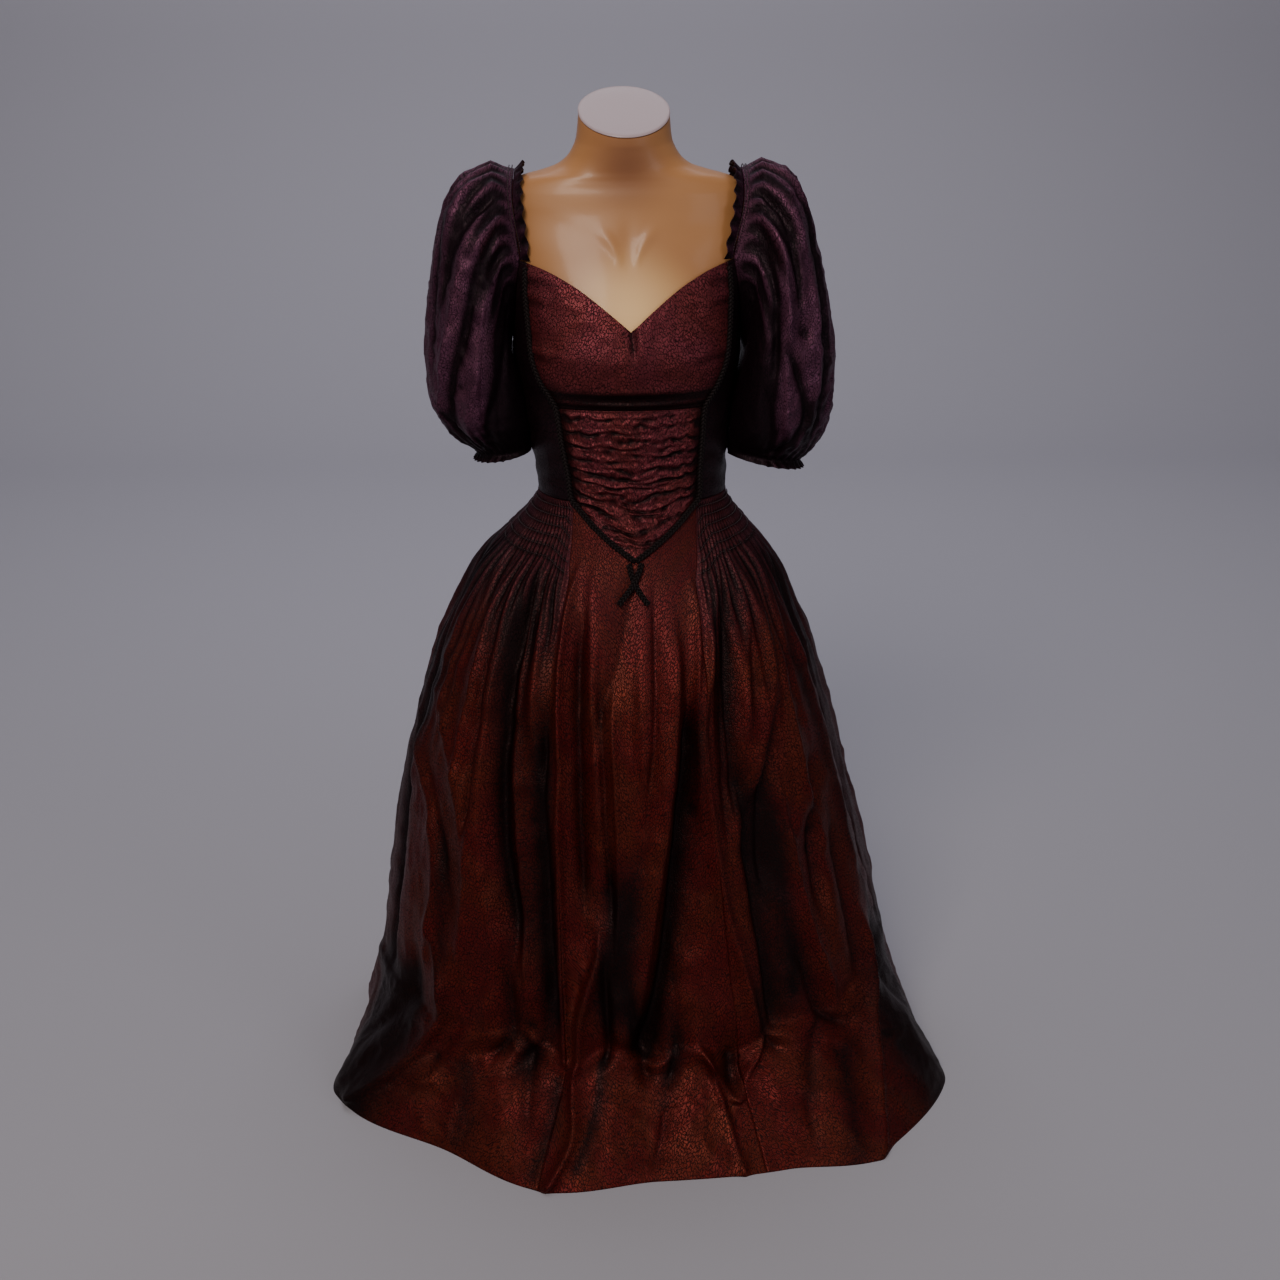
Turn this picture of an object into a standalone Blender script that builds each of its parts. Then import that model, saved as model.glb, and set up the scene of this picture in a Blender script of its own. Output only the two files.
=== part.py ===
# Edwardian revival dress in shot taffeta, standing on a limbless dress form with a pole and a round base.
# Metres, +Z up. X is to the wearer's left, -Y is the front. The origin is on the floor, under the pole.
import math
from collections import namedtuple

import bmesh
import bpy
from mathutils import Matrix, Vector

# Cloth and fit
CLOTH_WALL = 0.0022
RUFFLE_WALL = 0.0016
SEAM_GAP = 0.0003
SLEEVE_CLEARANCE = 0.0018
FORM_EASE = 0.0026

# Heights of the seams and edges
WAIST_HEIGHT = 0.785
BASQUE_POINT_HEIGHT = 0.720
UNDERBUST_HEIGHT = 0.908
NECK_POINT_HEIGHT = 1.009
NECK_CORNER_HEIGHT = 1.090
BACK_NECK_HEIGHT = 1.062
UNDERARM_HEIGHT = 0.985
FOLD_CREST = 0.35
FOLD_FALL = 1.6
BREAK_SOFTNESS = 0.005
FRONT_SOFTNESS = 0.014
BREAK_SPREAD = 0.15

# Angles round the body in degrees: 0 is the front, 90 the wearer's left, 180 the back
BASQUE_HALF_ANGLE = 45.5
NECK_CORNER_ANGLE = 70.0
SIDE_SEAM_ANGLE = 91.0

# Roundness of the body sections: 2 is an ellipse, more is squarer
BODY_POWER = 2.3
NECK_POWER = 2.0

# Waist gathers of the skirt
GATHER_HEIGHT = 0.0030
RELEASE_HEIGHT = 0.0050
SHIRR_DROP = 0.10

# Ruching of the midriff panel
RUCHE_COUNT = 12
RUCHE_HEIGHT = 0.0024

# Sleeves
SLEEVE_COLUMNS = 32
SLEEVE_HEAD_GAP = 0.0007
SLEEVE_HEAD_DEPTH = 0.056
SLEEVE_HEAD_CENTRE_Y = 0.004
SLEEVE_HEAD_HALF_HEIGHT = 0.106
HEAD_GATHER = 0.0034
CUFF_GATHER = 0.0026

# Ruffle heading on the neck side of each sleeve head
RUFFLE_WAVES = 15
RUFFLE_WIDTH = 0.013
RUFFLE_RISE = 0.0065
RUFFLE_WAVE = 0.0045

# Braid over the princess seams and the basque seam, and its crossed tie ends
BRAID_WIDTH = 0.0084
BRAID_HEIGHT = 0.0038
BRAID_LIFT = 0.0011
BRAID_STATIONS = 30
BRAID_SEAM_LENGTH = 0.360
BRAID_BASQUE_LENGTH = 0.115
BRAID_CORNER = BRAID_SEAM_LENGTH / (BRAID_SEAM_LENGTH + BRAID_BASQUE_LENGTH)
BRAID_CORNER_LIFT = 0.0026
TIE_LENGTH = 0.050
TIE_LIFT = -0.0013
TIE_CROSS_LIFT = 0.0042

# Dress form and stand
NECK_SLOPE = 0.47
NECK_TOP_HEIGHT = 1.264
CAP_THICKNESS = 0.004
CAP_GROWTH = 0.0006
POLE_RADIUS = 0.0125
BASE_RADIUS = 0.150
BASE_EDGE = 0.006
HUB_RADIUS = 0.026
HUB_HEIGHT = 0.034
FORM_COLUMNS = 32

# A level section of the body: centre is its shift in X, and half, front and back are its reach
Section = namedtuple("Section", "height centre half front back")

GOWN = (
    Section(0.120, 0.010, 0.345, 0.296, 0.302),
    Section(0.226, 0.003, 0.331, 0.286, 0.292),
    Section(0.300, -0.002, 0.318, 0.276, 0.282),
    Section(0.373, -0.006, 0.303, 0.264, 0.268),
    Section(0.455, -0.008, 0.283, 0.248, 0.250),
    Section(0.522, -0.008, 0.262, 0.230, 0.230),
    Section(0.581, -0.007, 0.242, 0.210, 0.208),
    Section(0.639, -0.004, 0.215, 0.184, 0.180),
    Section(0.684, -0.001, 0.193, 0.160, 0.153),
    Section(0.720, 0.002, 0.167, 0.138, 0.129),
    Section(0.740, 0.003, 0.152, 0.124, 0.114),
    Section(0.758, 0.004, 0.137, 0.112, 0.100),
    Section(0.785, 0.005, 0.1235, 0.098, 0.078),
    Section(0.810, 0.004, 0.1245, 0.098, 0.078),
    Section(0.842, 0.002, 0.1285, 0.100, 0.081),
    Section(0.880, 0.000, 0.134, 0.102, 0.085),
    Section(0.908, -0.001, 0.138, 0.102, 0.088),
    Section(0.925, -0.001, 0.140, 0.109, 0.089),
    Section(0.945, -0.002, 0.143, 0.119, 0.091),
    Section(0.970, -0.002, 0.1465, 0.124, 0.093),
    Section(1.000, -0.002, 0.147, 0.118, 0.095),
    Section(1.050, -0.003, 0.152, 0.102, 0.096),
    Section(1.090, -0.004, 0.158, 0.085, 0.094),
)

FORM_HIPS = (
    Section(0.560, 0.004, 0.146, 0.100, 0.104),
    Section(0.590, 0.004, 0.156, 0.108, 0.112),
    Section(0.650, 0.004, 0.160, 0.110, 0.118),
    Section(0.710, 0.004, 0.146, 0.100, 0.106),
    Section(0.750, 0.004, 0.126, 0.094, 0.086),
)

FORM_SHOULDERS = (
    Section(1.120, -0.004, 0.160, 0.069, 0.090),
    Section(1.150, -0.004, 0.161, 0.060, 0.084),
    Section(1.168, -0.004, 0.156, 0.056, 0.079),
    Section(1.180, -0.004, 0.146, 0.053, 0.076),
    Section(1.188, -0.004, 0.130, 0.052, 0.073),
    Section(1.194, -0.004, 0.107, 0.052, 0.070),
    Section(1.202, -0.005, 0.084, 0.053, 0.067),
    Section(1.215, -0.005, 0.069, 0.055, 0.063),
    Section(1.235, -0.005, 0.060, 0.057, 0.057),
)

NECK_TOP = Section(NECK_TOP_HEIGHT, -0.005, 0.057, 0.058, 0.053)

# The hem on the floor, as a distance from the origin at each angle
HemPoint = namedtuple("HemPoint", "angle radius")

HEM = (
    HemPoint(-180.0, 0.412),
    HemPoint(-150.0, 0.402),
    HemPoint(-120.0, 0.388),
    HemPoint(-97.0, 0.370),
    HemPoint(-75.0, 0.408),
    HemPoint(-62.0, 0.459),
    HemPoint(-56.0, 0.458),
    HemPoint(-36.6, 0.434),
    HemPoint(-15.8, 0.466),
    HemPoint(2.1, 0.435),
    HemPoint(23.5, 0.455),
    HemPoint(37.5, 0.501),
    HemPoint(42.0, 0.492),
    HemPoint(61.3, 0.479),
    HemPoint(75.0, 0.424),
    HemPoint(97.0, 0.394),
    HemPoint(120.0, 0.408),
    HemPoint(150.0, 0.400),
    HemPoint(180.0, 0.412),
)

# Height of the break above the stiff hem band, at each angle
Break = namedtuple("Break", "angle height")

BREAKS = (
    Break(-180.0, 0.140),
    Break(-130.0, 0.150),
    Break(-90.0, 0.138),
    Break(-62.0, 0.134),
    Break(-45.0, 0.128),
    Break(-15.0, 0.120),
    Break(20.0, 0.118),
    Break(45.0, 0.135),
    Break(62.0, 0.170),
    Break(90.0, 0.170),
    Break(130.0, 0.150),
    Break(180.0, 0.140),
)

# Seams of the skirt. A drop of 0 is the waist seam, 1 the break above the hem band, 2 the floor.
SkirtSeam = namedtuple("SkirtSeam", "drop right left")

SKIRT_SEAMS = (
    SkirtSeam(0.00, -45.5, 45.5),
    SkirtSeam(0.05, -36.0, 34.5),
    SkirtSeam(0.10, -30.5, 28.5),
    SkirtSeam(0.18, -27.0, 26.0),
    SkirtSeam(0.42, -20.5, 22.0),
    SkirtSeam(1.00, -18.0, 20.5),
    SkirtSeam(2.00, -17.0, 20.0),
)

SHIRRED_DROPS = (0.0, 0.05, 0.10)
FALLING_DROPS = (0.18, 0.30, 0.42, 0.55, 0.68, 0.80, 0.91, 1.0, 1.12, 1.45, 2.0)

# A ridge, or with a negative height a valley, that runs through three places on the skirt.
# Its flanks have their own widths, right and left of the crest as seen by the wearer's front.
Fold = namedtuple("Fold", "angle0 drop0 angle1 drop1 angle2 drop2 right left height")

SKIRT_FOLDS = (
    Fold(-47.4, 0.14, -43.0, 0.46, -34.5, 0.85, 0.042, 0.015, 0.015),
    Fold(-45.0, 0.18, -39.6, 0.46, -31.0, 0.82, 0.015, 0.026, -0.020),
    Fold(-66.0, 0.38, -49.6, 0.54, -43.8, 0.88, 0.020, 0.022, 0.011),
    Fold(-74.0, 0.50, -58.0, 0.62, -54.5, 0.90, 0.022, 0.022, 0.009),
    Fold(-36.5, 0.12, -28.8, 0.42, -24.4, 0.56, 0.016, 0.020, 0.009),
    Fold(-26.5, 0.38, -23.9, 0.66, -20.6, 0.94, 0.026, 0.013, -0.015),
    Fold(-27.5, 0.12, -20.2, 0.50, -18.5, 1.06, 0.018, 0.016, 0.014),
    Fold(-20.0, 0.18, -15.6, 0.45, -14.0, 0.70, 0.013, 0.018, -0.014),
    Fold(-19.1, 0.07, -12.1, 0.30, -8.0, 0.62, 0.016, 0.030, 0.007),
    Fold(-1.2, 0.06, -5.5, 0.21, -10.8, 0.34, 0.016, 0.018, -0.006),
    Fold(16.4, 0.20, 8.4, 0.57, -4.3, 1.00, 0.045, 0.021, 0.017),
    Fold(22.0, 0.16, 13.4, 0.51, -3.3, 1.01, 0.022, 0.034, -0.025),
    Fold(35.0, 0.10, 22.2, 0.44, 26.2, 1.02, 0.018, 0.016, 0.013),
    Fold(33.5, 0.22, 27.6, 0.56, 30.5, 1.01, 0.018, 0.030, -0.018),
    Fold(54.0, 0.14, 43.0, 0.42, 29.0, 0.60, 0.022, 0.015, 0.012),
    Fold(43.5, 0.42, 38.0, 0.56, 35.0, 0.76, 0.015, 0.022, -0.013),
    Fold(52.5, 0.26, 51.6, 0.50, 55.6, 0.70, 0.016, 0.016, 0.011),
    Fold(58.5, 0.54, 52.0, 0.68, 48.8, 0.84, 0.016, 0.020, -0.013),
    Fold(61.0, 0.70, 58.0, 0.84, 55.9, 0.99, 0.016, 0.020, -0.013),
    Fold(64.0, 0.16, 68.0, 0.50, 66.0, 0.84, 0.020, 0.020, 0.007),
    Fold(74.0, 0.20, 78.0, 0.55, 77.0, 0.97, 0.018, 0.024, -0.015),
    Fold(86.0, 0.16, 88.0, 0.55, 89.0, 1.00, 0.024, 0.024, 0.004),
    Fold(-78.0, 0.26, -77.0, 0.60, -73.0, 0.98, 0.022, 0.020, -0.015),
    Fold(-86.0, 0.16, -87.0, 0.55, -88.0, 1.00, 0.024, 0.024, 0.004),
)

BACK_FOLDS = (
    Fold(-99.0, 0.18, -98.0, 0.60, -97.0, 0.98, 0.020, 0.026, -0.018),
    Fold(-112.0, 0.14, -112.0, 0.60, -113.0, 1.02, 0.024, 0.024, 0.016),
    Fold(-126.0, 0.20, -126.0, 0.60, -125.0, 0.96, 0.022, 0.026, -0.020),
    Fold(-139.0, 0.14, -140.0, 0.60, -142.0, 1.04, 0.024, 0.024, 0.015),
    Fold(-154.0, 0.18, -155.0, 0.60, -155.0, 0.98, 0.020, 0.026, -0.018),
    Fold(-168.0, 0.14, -168.0, 0.60, -167.0, 1.00, 0.024, 0.024, 0.014),
    Fold(98.0, 0.18, 98.0, 0.60, 99.0, 1.00, 0.022, 0.026, 0.015),
    Fold(111.0, 0.20, 110.0, 0.60, 109.0, 0.96, 0.022, 0.024, -0.019),
    Fold(124.0, 0.14, 125.0, 0.60, 127.0, 1.04, 0.024, 0.024, 0.016),
    Fold(138.0, 0.18, 139.0, 0.60, 141.0, 0.98, 0.020, 0.026, -0.020),
    Fold(153.0, 0.14, 153.0, 0.60, 152.0, 1.02, 0.024, 0.024, 0.015),
    Fold(167.0, 0.18, 166.0, 0.60, 165.0, 0.97, 0.020, 0.024, -0.016),
)

HEM_FOLDS = (
    Fold(-46.5, 0.90, -50.0, 1.35, -58.0, 1.95, 0.030, 0.018, 0.017),
    Fold(-60.0, 0.92, -62.0, 1.20, -68.0, 1.60, 0.026, 0.026, -0.013),
    Fold(-11.5, 0.82, -15.4, 1.20, -15.8, 1.96, 0.018, 0.018, 0.020),
    Fold(-9.2, 0.84, -9.0, 1.00, -9.4, 1.20, 0.014, 0.016, -0.013),
    Fold(-23.0, 0.92, -25.0, 1.10, -29.0, 1.44, 0.018, 0.024, -0.012),
    Fold(-28.0, 1.05, -25.0, 1.35, -22.3, 1.66, 0.020, 0.020, -0.009),
    Fold(7.0, 0.94, 6.0, 1.14, 5.0, 1.40, 0.018, 0.020, -0.010),
    Fold(13.1, 1.04, 15.6, 1.55, 16.2, 1.96, 0.018, 0.016, 0.012),
    Fold(18.5, 1.00, 19.0, 1.18, 19.4, 1.44, 0.018, 0.018, -0.015),
    Fold(30.0, 0.98, 32.0, 1.16, 34.0, 1.46, 0.022, 0.022, -0.011),
    Fold(62.3, 0.94, 48.3, 1.49, 37.3, 1.96, 0.022, 0.018, 0.015),
    Fold(68.0, 0.96, 66.0, 1.20, 68.0, 1.50, 0.022, 0.026, -0.012),
    Fold(-84.0, 1.00, -88.0, 1.40, -92.0, 1.80, 0.036, 0.036, 0.010),
    Fold(100.0, 1.00, 96.0, 1.40, 92.0, 1.80, 0.036, 0.036, 0.010),
    Fold(-140.0, 1.02, -136.0, 1.40, -132.0, 1.86, 0.034, 0.026, 0.013),
    Fold(126.0, 1.02, 130.0, 1.40, 134.0, 1.86, 0.026, 0.034, 0.013),
    Fold(-156.0, 1.00, -158.0, 1.20, -160.0, 1.46, 0.030, 0.030, -0.014),
    Fold(166.0, 1.00, 164.0, 1.20, 162.0, 1.46, 0.030, 0.030, -0.014),
)

# Princess seams, mirrored on both sides
PrincessPoint = namedtuple("PrincessPoint", "height angle")

PRINCESS = (
    PrincessPoint(0.785, 45.5),
    PrincessPoint(0.908, 48.5),
    PrincessPoint(0.944, 54.0),
    PrincessPoint(1.000, 60.0),
    PrincessPoint(1.050, 63.5),
    PrincessPoint(1.0873, 65.0),
)

# A ring round an empty sleeve: its end next to the body, its outer end, and its half depth in Y
SleeveRing = namedtuple("SleeveRing", "inner_x inner_z outer_x outer_z depth centre_y")

SLEEVE_RINGS = {
    "right": (
        SleeveRing(0.1505, 0.966, 0.172, 1.202, 0.070, 0.004),
        SleeveRing(0.1435, 0.946, 0.204, 1.187, 0.081, 0.002),
        SleeveRing(0.1360, 0.926, 0.228, 1.156, 0.089, 0.000),
        SleeveRing(0.1320, 0.907, 0.243, 1.102, 0.093, -0.002),
        SleeveRing(0.1295, 0.890, 0.254, 1.032, 0.092, -0.003),
        SleeveRing(0.1275, 0.876, 0.259, 0.968, 0.087, -0.004),
        SleeveRing(0.1260, 0.866, 0.256, 0.914, 0.078, -0.004),
        SleeveRing(0.1250, 0.858, 0.236, 0.874, 0.063, -0.003),
        SleeveRing(0.1250, 0.851, 0.206, 0.845, 0.047, -0.002),
        SleeveRing(0.1255, 0.845, 0.197, 0.835, 0.041, -0.002),
        SleeveRing(0.1265, 0.838, 0.200, 0.826, 0.045, -0.002),
    ),
    "left": (
        SleeveRing(0.1500, 0.964, 0.168, 1.203, 0.070, 0.004),
        SleeveRing(0.1430, 0.943, 0.198, 1.190, 0.081, 0.002),
        SleeveRing(0.1355, 0.922, 0.221, 1.158, 0.089, 0.000),
        SleeveRing(0.1310, 0.902, 0.240, 1.100, 0.094, -0.002),
        SleeveRing(0.1285, 0.885, 0.255, 1.030, 0.094, -0.003),
        SleeveRing(0.1265, 0.871, 0.265, 0.962, 0.090, -0.004),
        SleeveRing(0.1250, 0.861, 0.264, 0.902, 0.082, -0.004),
        SleeveRing(0.1240, 0.853, 0.252, 0.858, 0.068, -0.003),
        SleeveRing(0.1240, 0.846, 0.233, 0.830, 0.052, -0.002),
        SleeveRing(0.1250, 0.840, 0.227, 0.821, 0.046, -0.002),
        SleeveRing(0.1260, 0.833, 0.230, 0.811, 0.050, -0.002),
    ),
}

# How much of the head and cuff gathers shows at the seam ring and at each ring of the sleeve
HEAD_GATHER_SHARE = (0.25, 1.0, 0.85, 0.55, 0.3, 0.1, 0.0, 0.0, 0.0, 0.0, 0.0, 0.0)
CUFF_GATHER_SHARE = (0.0, 0.0, 0.0, 0.0, 0.0, 0.0, 0.15, 0.45, 0.9, 1.0, 0.35, 1.6)

# A soft diagonal fold of a sleeve. A turn of 0 is the outer line, 90 the front, 180 next to the body.
SleeveFold = namedtuple("SleeveFold", "turn0 ring0 turn1 ring1 spread height")

SLEEVE_FOLDS = {
    "right": (
        SleeveFold(52.0, 1.5, 30.0, 6.0, 13.0, 0.0065),
        SleeveFold(74.0, 1.5, 60.0, 6.5, 12.0, -0.0070),
        SleeveFold(100.0, 2.0, 92.0, 7.5, 14.0, 0.0070),
        SleeveFold(122.0, 2.5, 122.0, 7.5, 12.0, -0.0060),
        SleeveFold(64.0, 5.0, 34.0, 8.5, 12.0, 0.0060),
        SleeveFold(-40.0, 2.0, -30.0, 7.0, 14.0, -0.0060),
        SleeveFold(-74.0, 1.5, -64.0, 7.5, 14.0, 0.0065),
        SleeveFold(-108.0, 2.0, -100.0, 7.5, 13.0, -0.0060),
    ),
    "left": (
        SleeveFold(40.0, 1.5, 64.0, 6.0, 13.0, 0.0065),
        SleeveFold(62.0, 1.5, 88.0, 6.5, 12.0, -0.0075),
        SleeveFold(94.0, 1.5, 108.0, 6.0, 13.0, 0.0065),
        SleeveFold(20.0, 3.0, 52.0, 8.0, 12.0, -0.0060),
        SleeveFold(104.0, 5.5, 76.0, 8.5, 12.0, 0.0065),
        SleeveFold(-36.0, 2.0, -46.0, 7.0, 14.0, 0.0060),
        SleeveFold(-70.0, 1.5, -76.0, 7.5, 14.0, -0.0065),
        SleeveFold(-104.0, 2.0, -110.0, 7.5, 13.0, 0.0060),
    ),
}

SIDES = (("right", -1.0), ("left", 1.0))


def smooth(x, knots, values):
    # A curve through the table's rows that never swings past them
    if x <= knots[0]:
        return values[0]
    if x >= knots[-1]:
        return values[-1]
    slopes = [(values[i + 1] - values[i]) / (knots[i + 1] - knots[i]) for i in range(len(knots) - 1)]
    tangents = [slopes[0]]
    for before, after in zip(slopes, slopes[1:]):
        same_way = before * after > 0.0
        tangents.append(2.0 * before * after / (before + after) if same_way else 0.0)
    tangents.append(slopes[-1])
    k = max(i for i in range(len(knots) - 1) if knots[i] <= x)
    step = knots[k + 1] - knots[k]
    t = (x - knots[k]) / step
    start = (1.0 + 2.0 * t) * (1.0 - t) ** 2 * values[k] + t * (1.0 - t) ** 2 * step * tangents[k]
    end = t * t * (3.0 - 2.0 * t) * values[k + 1] + t * t * (t - 1.0) * step * tangents[k + 1]
    return start + end


def straight(x, knots, values):
    # Straight lines between the table's rows
    if x <= knots[0]:
        return values[0]
    for i in range(len(knots) - 1):
        if x <= knots[i + 1]:
            share = (x - knots[i]) / (knots[i + 1] - knots[i])
            return values[i] + (values[i + 1] - values[i]) * share
    return values[-1]


def ramp(x, start, end):
    # 0 before start, 1 past end, and a soft rise between
    t = min(1.0, max(0.0, (x - start) / (end - start)))
    return t * t * (3.0 - 2.0 * t)


def column(table, name):
    return [getattr(row, name) for row in table]


def section_at(table, height):
    heights = column(table, "height")
    return Section(height, *(smooth(height, heights, column(table, name)) for name in Section._fields[1:]))


def ring_radius(section, angle, power=BODY_POWER):
    # Distance from the section's centre to its edge at an angle
    turn = math.radians(angle)
    reach = section.front if math.cos(turn) > 0.0 else section.back
    across = abs(math.sin(turn)) / section.half
    along = abs(math.cos(turn)) / reach
    return (across ** power + along ** power) ** (-1.0 / power)


def polar(centre_x, angle, radius, height):
    turn = math.radians(angle)
    return Vector((centre_x + radius * math.sin(turn), -radius * math.cos(turn), height))


def waist_seam_height(angle):
    # The basque dips to its point at the centre front
    share = min(1.0, abs(angle) / BASQUE_HALF_ANGLE)
    return BASQUE_POINT_HEIGHT + (WAIST_HEIGHT - BASQUE_POINT_HEIGHT) * share


def bodice_point(angle, height, lift=0.0):
    section = section_at(GOWN, height)
    return polar(section.centre, angle, ring_radius(section, angle) + lift, height)


def bodice_reach(side, y, height):
    # X of the bodice's side at a depth y
    section = section_at(GOWN, height)
    reach = section.front if y < 0.0 else section.back
    share = max(0.0, 1.0 - (abs(y) / reach) ** BODY_POWER)
    return section.centre + side * section.half * share ** (1.0 / BODY_POWER)


def fold_lift(fold, angle, drop, radius):
    # Height of one fold of the skirt at a place
    fade_in = ramp(drop, fold.drop0 - 0.09, fold.drop0 + 0.07)
    fade_out = 1.0 - ramp(drop, fold.drop2 - 0.07, fold.drop2 + 0.07)
    drops = (fold.drop0, fold.drop1, fold.drop2)
    centre = smooth(drop, drops, (fold.angle0, fold.angle1, fold.angle2))
    away = math.radians(angle - centre) * radius
    away /= fold.right if away < 0.0 else fold.left
    fall = math.hypot(away, FOLD_CREST) - FOLD_CREST
    return fold.height * fade_in * fade_out * math.exp(-FOLD_FALL * fall)


def break_rounding(angle, drop):
    # The cloth turns softly, most of all in front, where it breaks over the hem band
    away = (drop - 1.0) / BREAK_SPREAD
    softness = BREAK_SOFTNESS + FRONT_SOFTNESS * max(0.0, math.cos(math.radians(angle)))
    return softness * math.exp(-away * away)


def skirt_frame(angle, drop):
    # Centre, radius and height of the plain skirt
    wrapped = (angle + 180.0) % 360.0 - 180.0
    break_height = smooth(wrapped, column(BREAKS, "angle"), column(BREAKS, "height"))
    if drop <= 1.0:
        seam = waist_seam_height(wrapped)
        height = seam + (break_height - seam) * drop
        section = section_at(GOWN, height)
        radius = ring_radius(section, angle) + break_rounding(angle, drop)
        return section.centre, radius, height
    share = drop - 1.0
    section = section_at(GOWN, break_height)
    hem = smooth(wrapped, column(HEM, "angle"), column(HEM, "radius"))
    radius = ring_radius(section, angle)
    radius += (hem - radius) * share + break_rounding(angle, drop)
    return section.centre * (1.0 - share), radius, break_height * (1.0 - share)


def skirt_point(angle, drop, pucker, inset):
    centre, radius, height = skirt_frame(angle, drop)
    wrapped = (angle + 180.0) % 360.0 - 180.0
    lift = pucker
    for fold in SKIRT_FOLDS + BACK_FOLDS + HEM_FOLDS:
        lift += fold_lift(fold, wrapped, drop, radius)
    if drop == 0.0:
        height -= SEAM_GAP / 2.0
    return polar(centre, angle, radius + lift - inset, height)


def skirt_rows(start_name, end_name, columns, shirred, inset):
    # Rows of points of one skirt panel; the shirred rows have twice as many columns
    rows = []
    for drop in SHIRRED_DROPS + FALLING_DROPS:
        start = seam_angle(start_name, drop)
        end = seam_angle(end_name, drop)
        fine = shirred and drop in SHIRRED_DROPS
        count = columns * 2 if fine else columns
        row = []
        for i in range(count + 1):
            angle = start + (end - start) * i / count
            row.append(skirt_point(angle, drop, pucker_at(shirred, fine, i, count, drop), inset))
        keep_gap(row, rows_gap_angle(row))
        rows.append(row)
    return rows


def seam_angle(name, drop):
    drops = column(SKIRT_SEAMS, "drop")
    if name in ("right", "left"):
        return straight(drop, drops, column(SKIRT_SEAMS, name))
    return {"right_side": -SIDE_SEAM_ANGLE, "left_side": SIDE_SEAM_ANGLE,
            "right_back": -180.0, "left_back": 180.0}[name]


def pucker_at(shirred, fine, i, count, drop):
    # Small gathers under the waist seam that open into soft folds below it
    if not shirred or i < 2 or i > count - 2:
        return 0.0
    if fine:
        return GATHER_HEIGHT * (0.25 + 0.75 * ramp(drop, 0.0, SHIRR_DROP)) * (i % 2)
    return RELEASE_HEIGHT * (1.0 - ramp(drop, 0.10, 0.50)) * (i % 2)


def rows_gap_angle(row):
    # Half a seam gap as an angle at the ends of a row
    return [SEAM_GAP / 2.0 / max(0.01, math.hypot(point.x, point.y)) for point in (row[0], row[-1])]


def keep_gap(row, turns):
    # Turns a row's two ends towards each other by half a seam gap
    for index, turn in ((0, turns[0]), (-1, -turns[1])):
        row[index] = Matrix.Rotation(turn, 3, "Z") @ row[index]


def strip(bm, low, high):
    # Triangles between two runs of vertices, of which one may have twice as many steps
    if len(low) == len(high):
        for i in range(len(low) - 1):
            bm.faces.new((low[i], low[i + 1], high[i + 1]))
            bm.faces.new((low[i], high[i + 1], high[i]))
        return
    fine, coarse = (low, high) if len(low) > len(high) else (high, low)
    for i in range(len(coarse) - 1):
        a, b, c = fine[2 * i], fine[2 * i + 1], fine[2 * i + 2]
        bm.faces.new((a, b, coarse[i]))
        bm.faces.new((b, coarse[i + 1], coarse[i]))
        bm.faces.new((b, c, coarse[i + 1]))


def wall_object(name, outer, inner, material, around=False):
    # A closed wall between an outer and an inner net of points
    bm = bmesh.new()
    outer_net = [[bm.verts.new(point) for point in row] for row in outer]
    inner_net = [[bm.verts.new(point) for point in row] for row in inner]
    if around:
        outer_net = [row + row[:1] for row in outer_net]
        inner_net = [row + row[:1] for row in inner_net]
    for net in (outer_net, inner_net):
        for low, high in zip(net, net[1:]):
            strip(bm, low, high)
    strip(bm, outer_net[0], inner_net[0])
    strip(bm, outer_net[-1], inner_net[-1])
    if not around:
        for end in (0, -1):
            strip(bm, [row[end] for row in outer_net], [row[end] for row in inner_net])
    return finish_object(name, bm, material)


def solid_object(name, rings, material):
    # A closed skin over rings of points, with a flat face at each end
    bm = bmesh.new()
    net = [[bm.verts.new(point) for point in ring] for ring in rings]
    for low, high in zip(net, net[1:]):
        strip(bm, low + low[:1], high + high[:1])
    bm.faces.new(net[0])
    bm.faces.new(net[-1])
    return finish_object(name, bm, material)


def finish_object(name, bm, material):
    bmesh.ops.recalc_face_normals(bm, faces=bm.faces)
    mesh = bpy.data.meshes.new(name)
    bm.to_mesh(mesh)
    bm.free()
    mesh.shade_smooth()
    mesh.materials.append(material)
    thing = bpy.data.objects.new(name, mesh)
    bpy.context.collection.objects.link(thing)
    return thing


def make_material(name, colour, roughness, metallic=0.0, sheen=0.0):
    material = bpy.data.materials.new(name)
    material.use_nodes = True
    shader = material.node_tree.nodes["Principled BSDF"]
    shader.inputs["Base Color"].default_value = (*colour, 1.0)
    shader.inputs["Roughness"].default_value = roughness
    shader.inputs["Metallic"].default_value = metallic
    shader.inputs["Sheen Weight"].default_value = sheen
    material.diffuse_color = (*colour, 1.0)
    return material


def princess_angle(height):
    return straight(height, column(PRINCESS, "height"), column(PRINCESS, "angle"))


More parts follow.
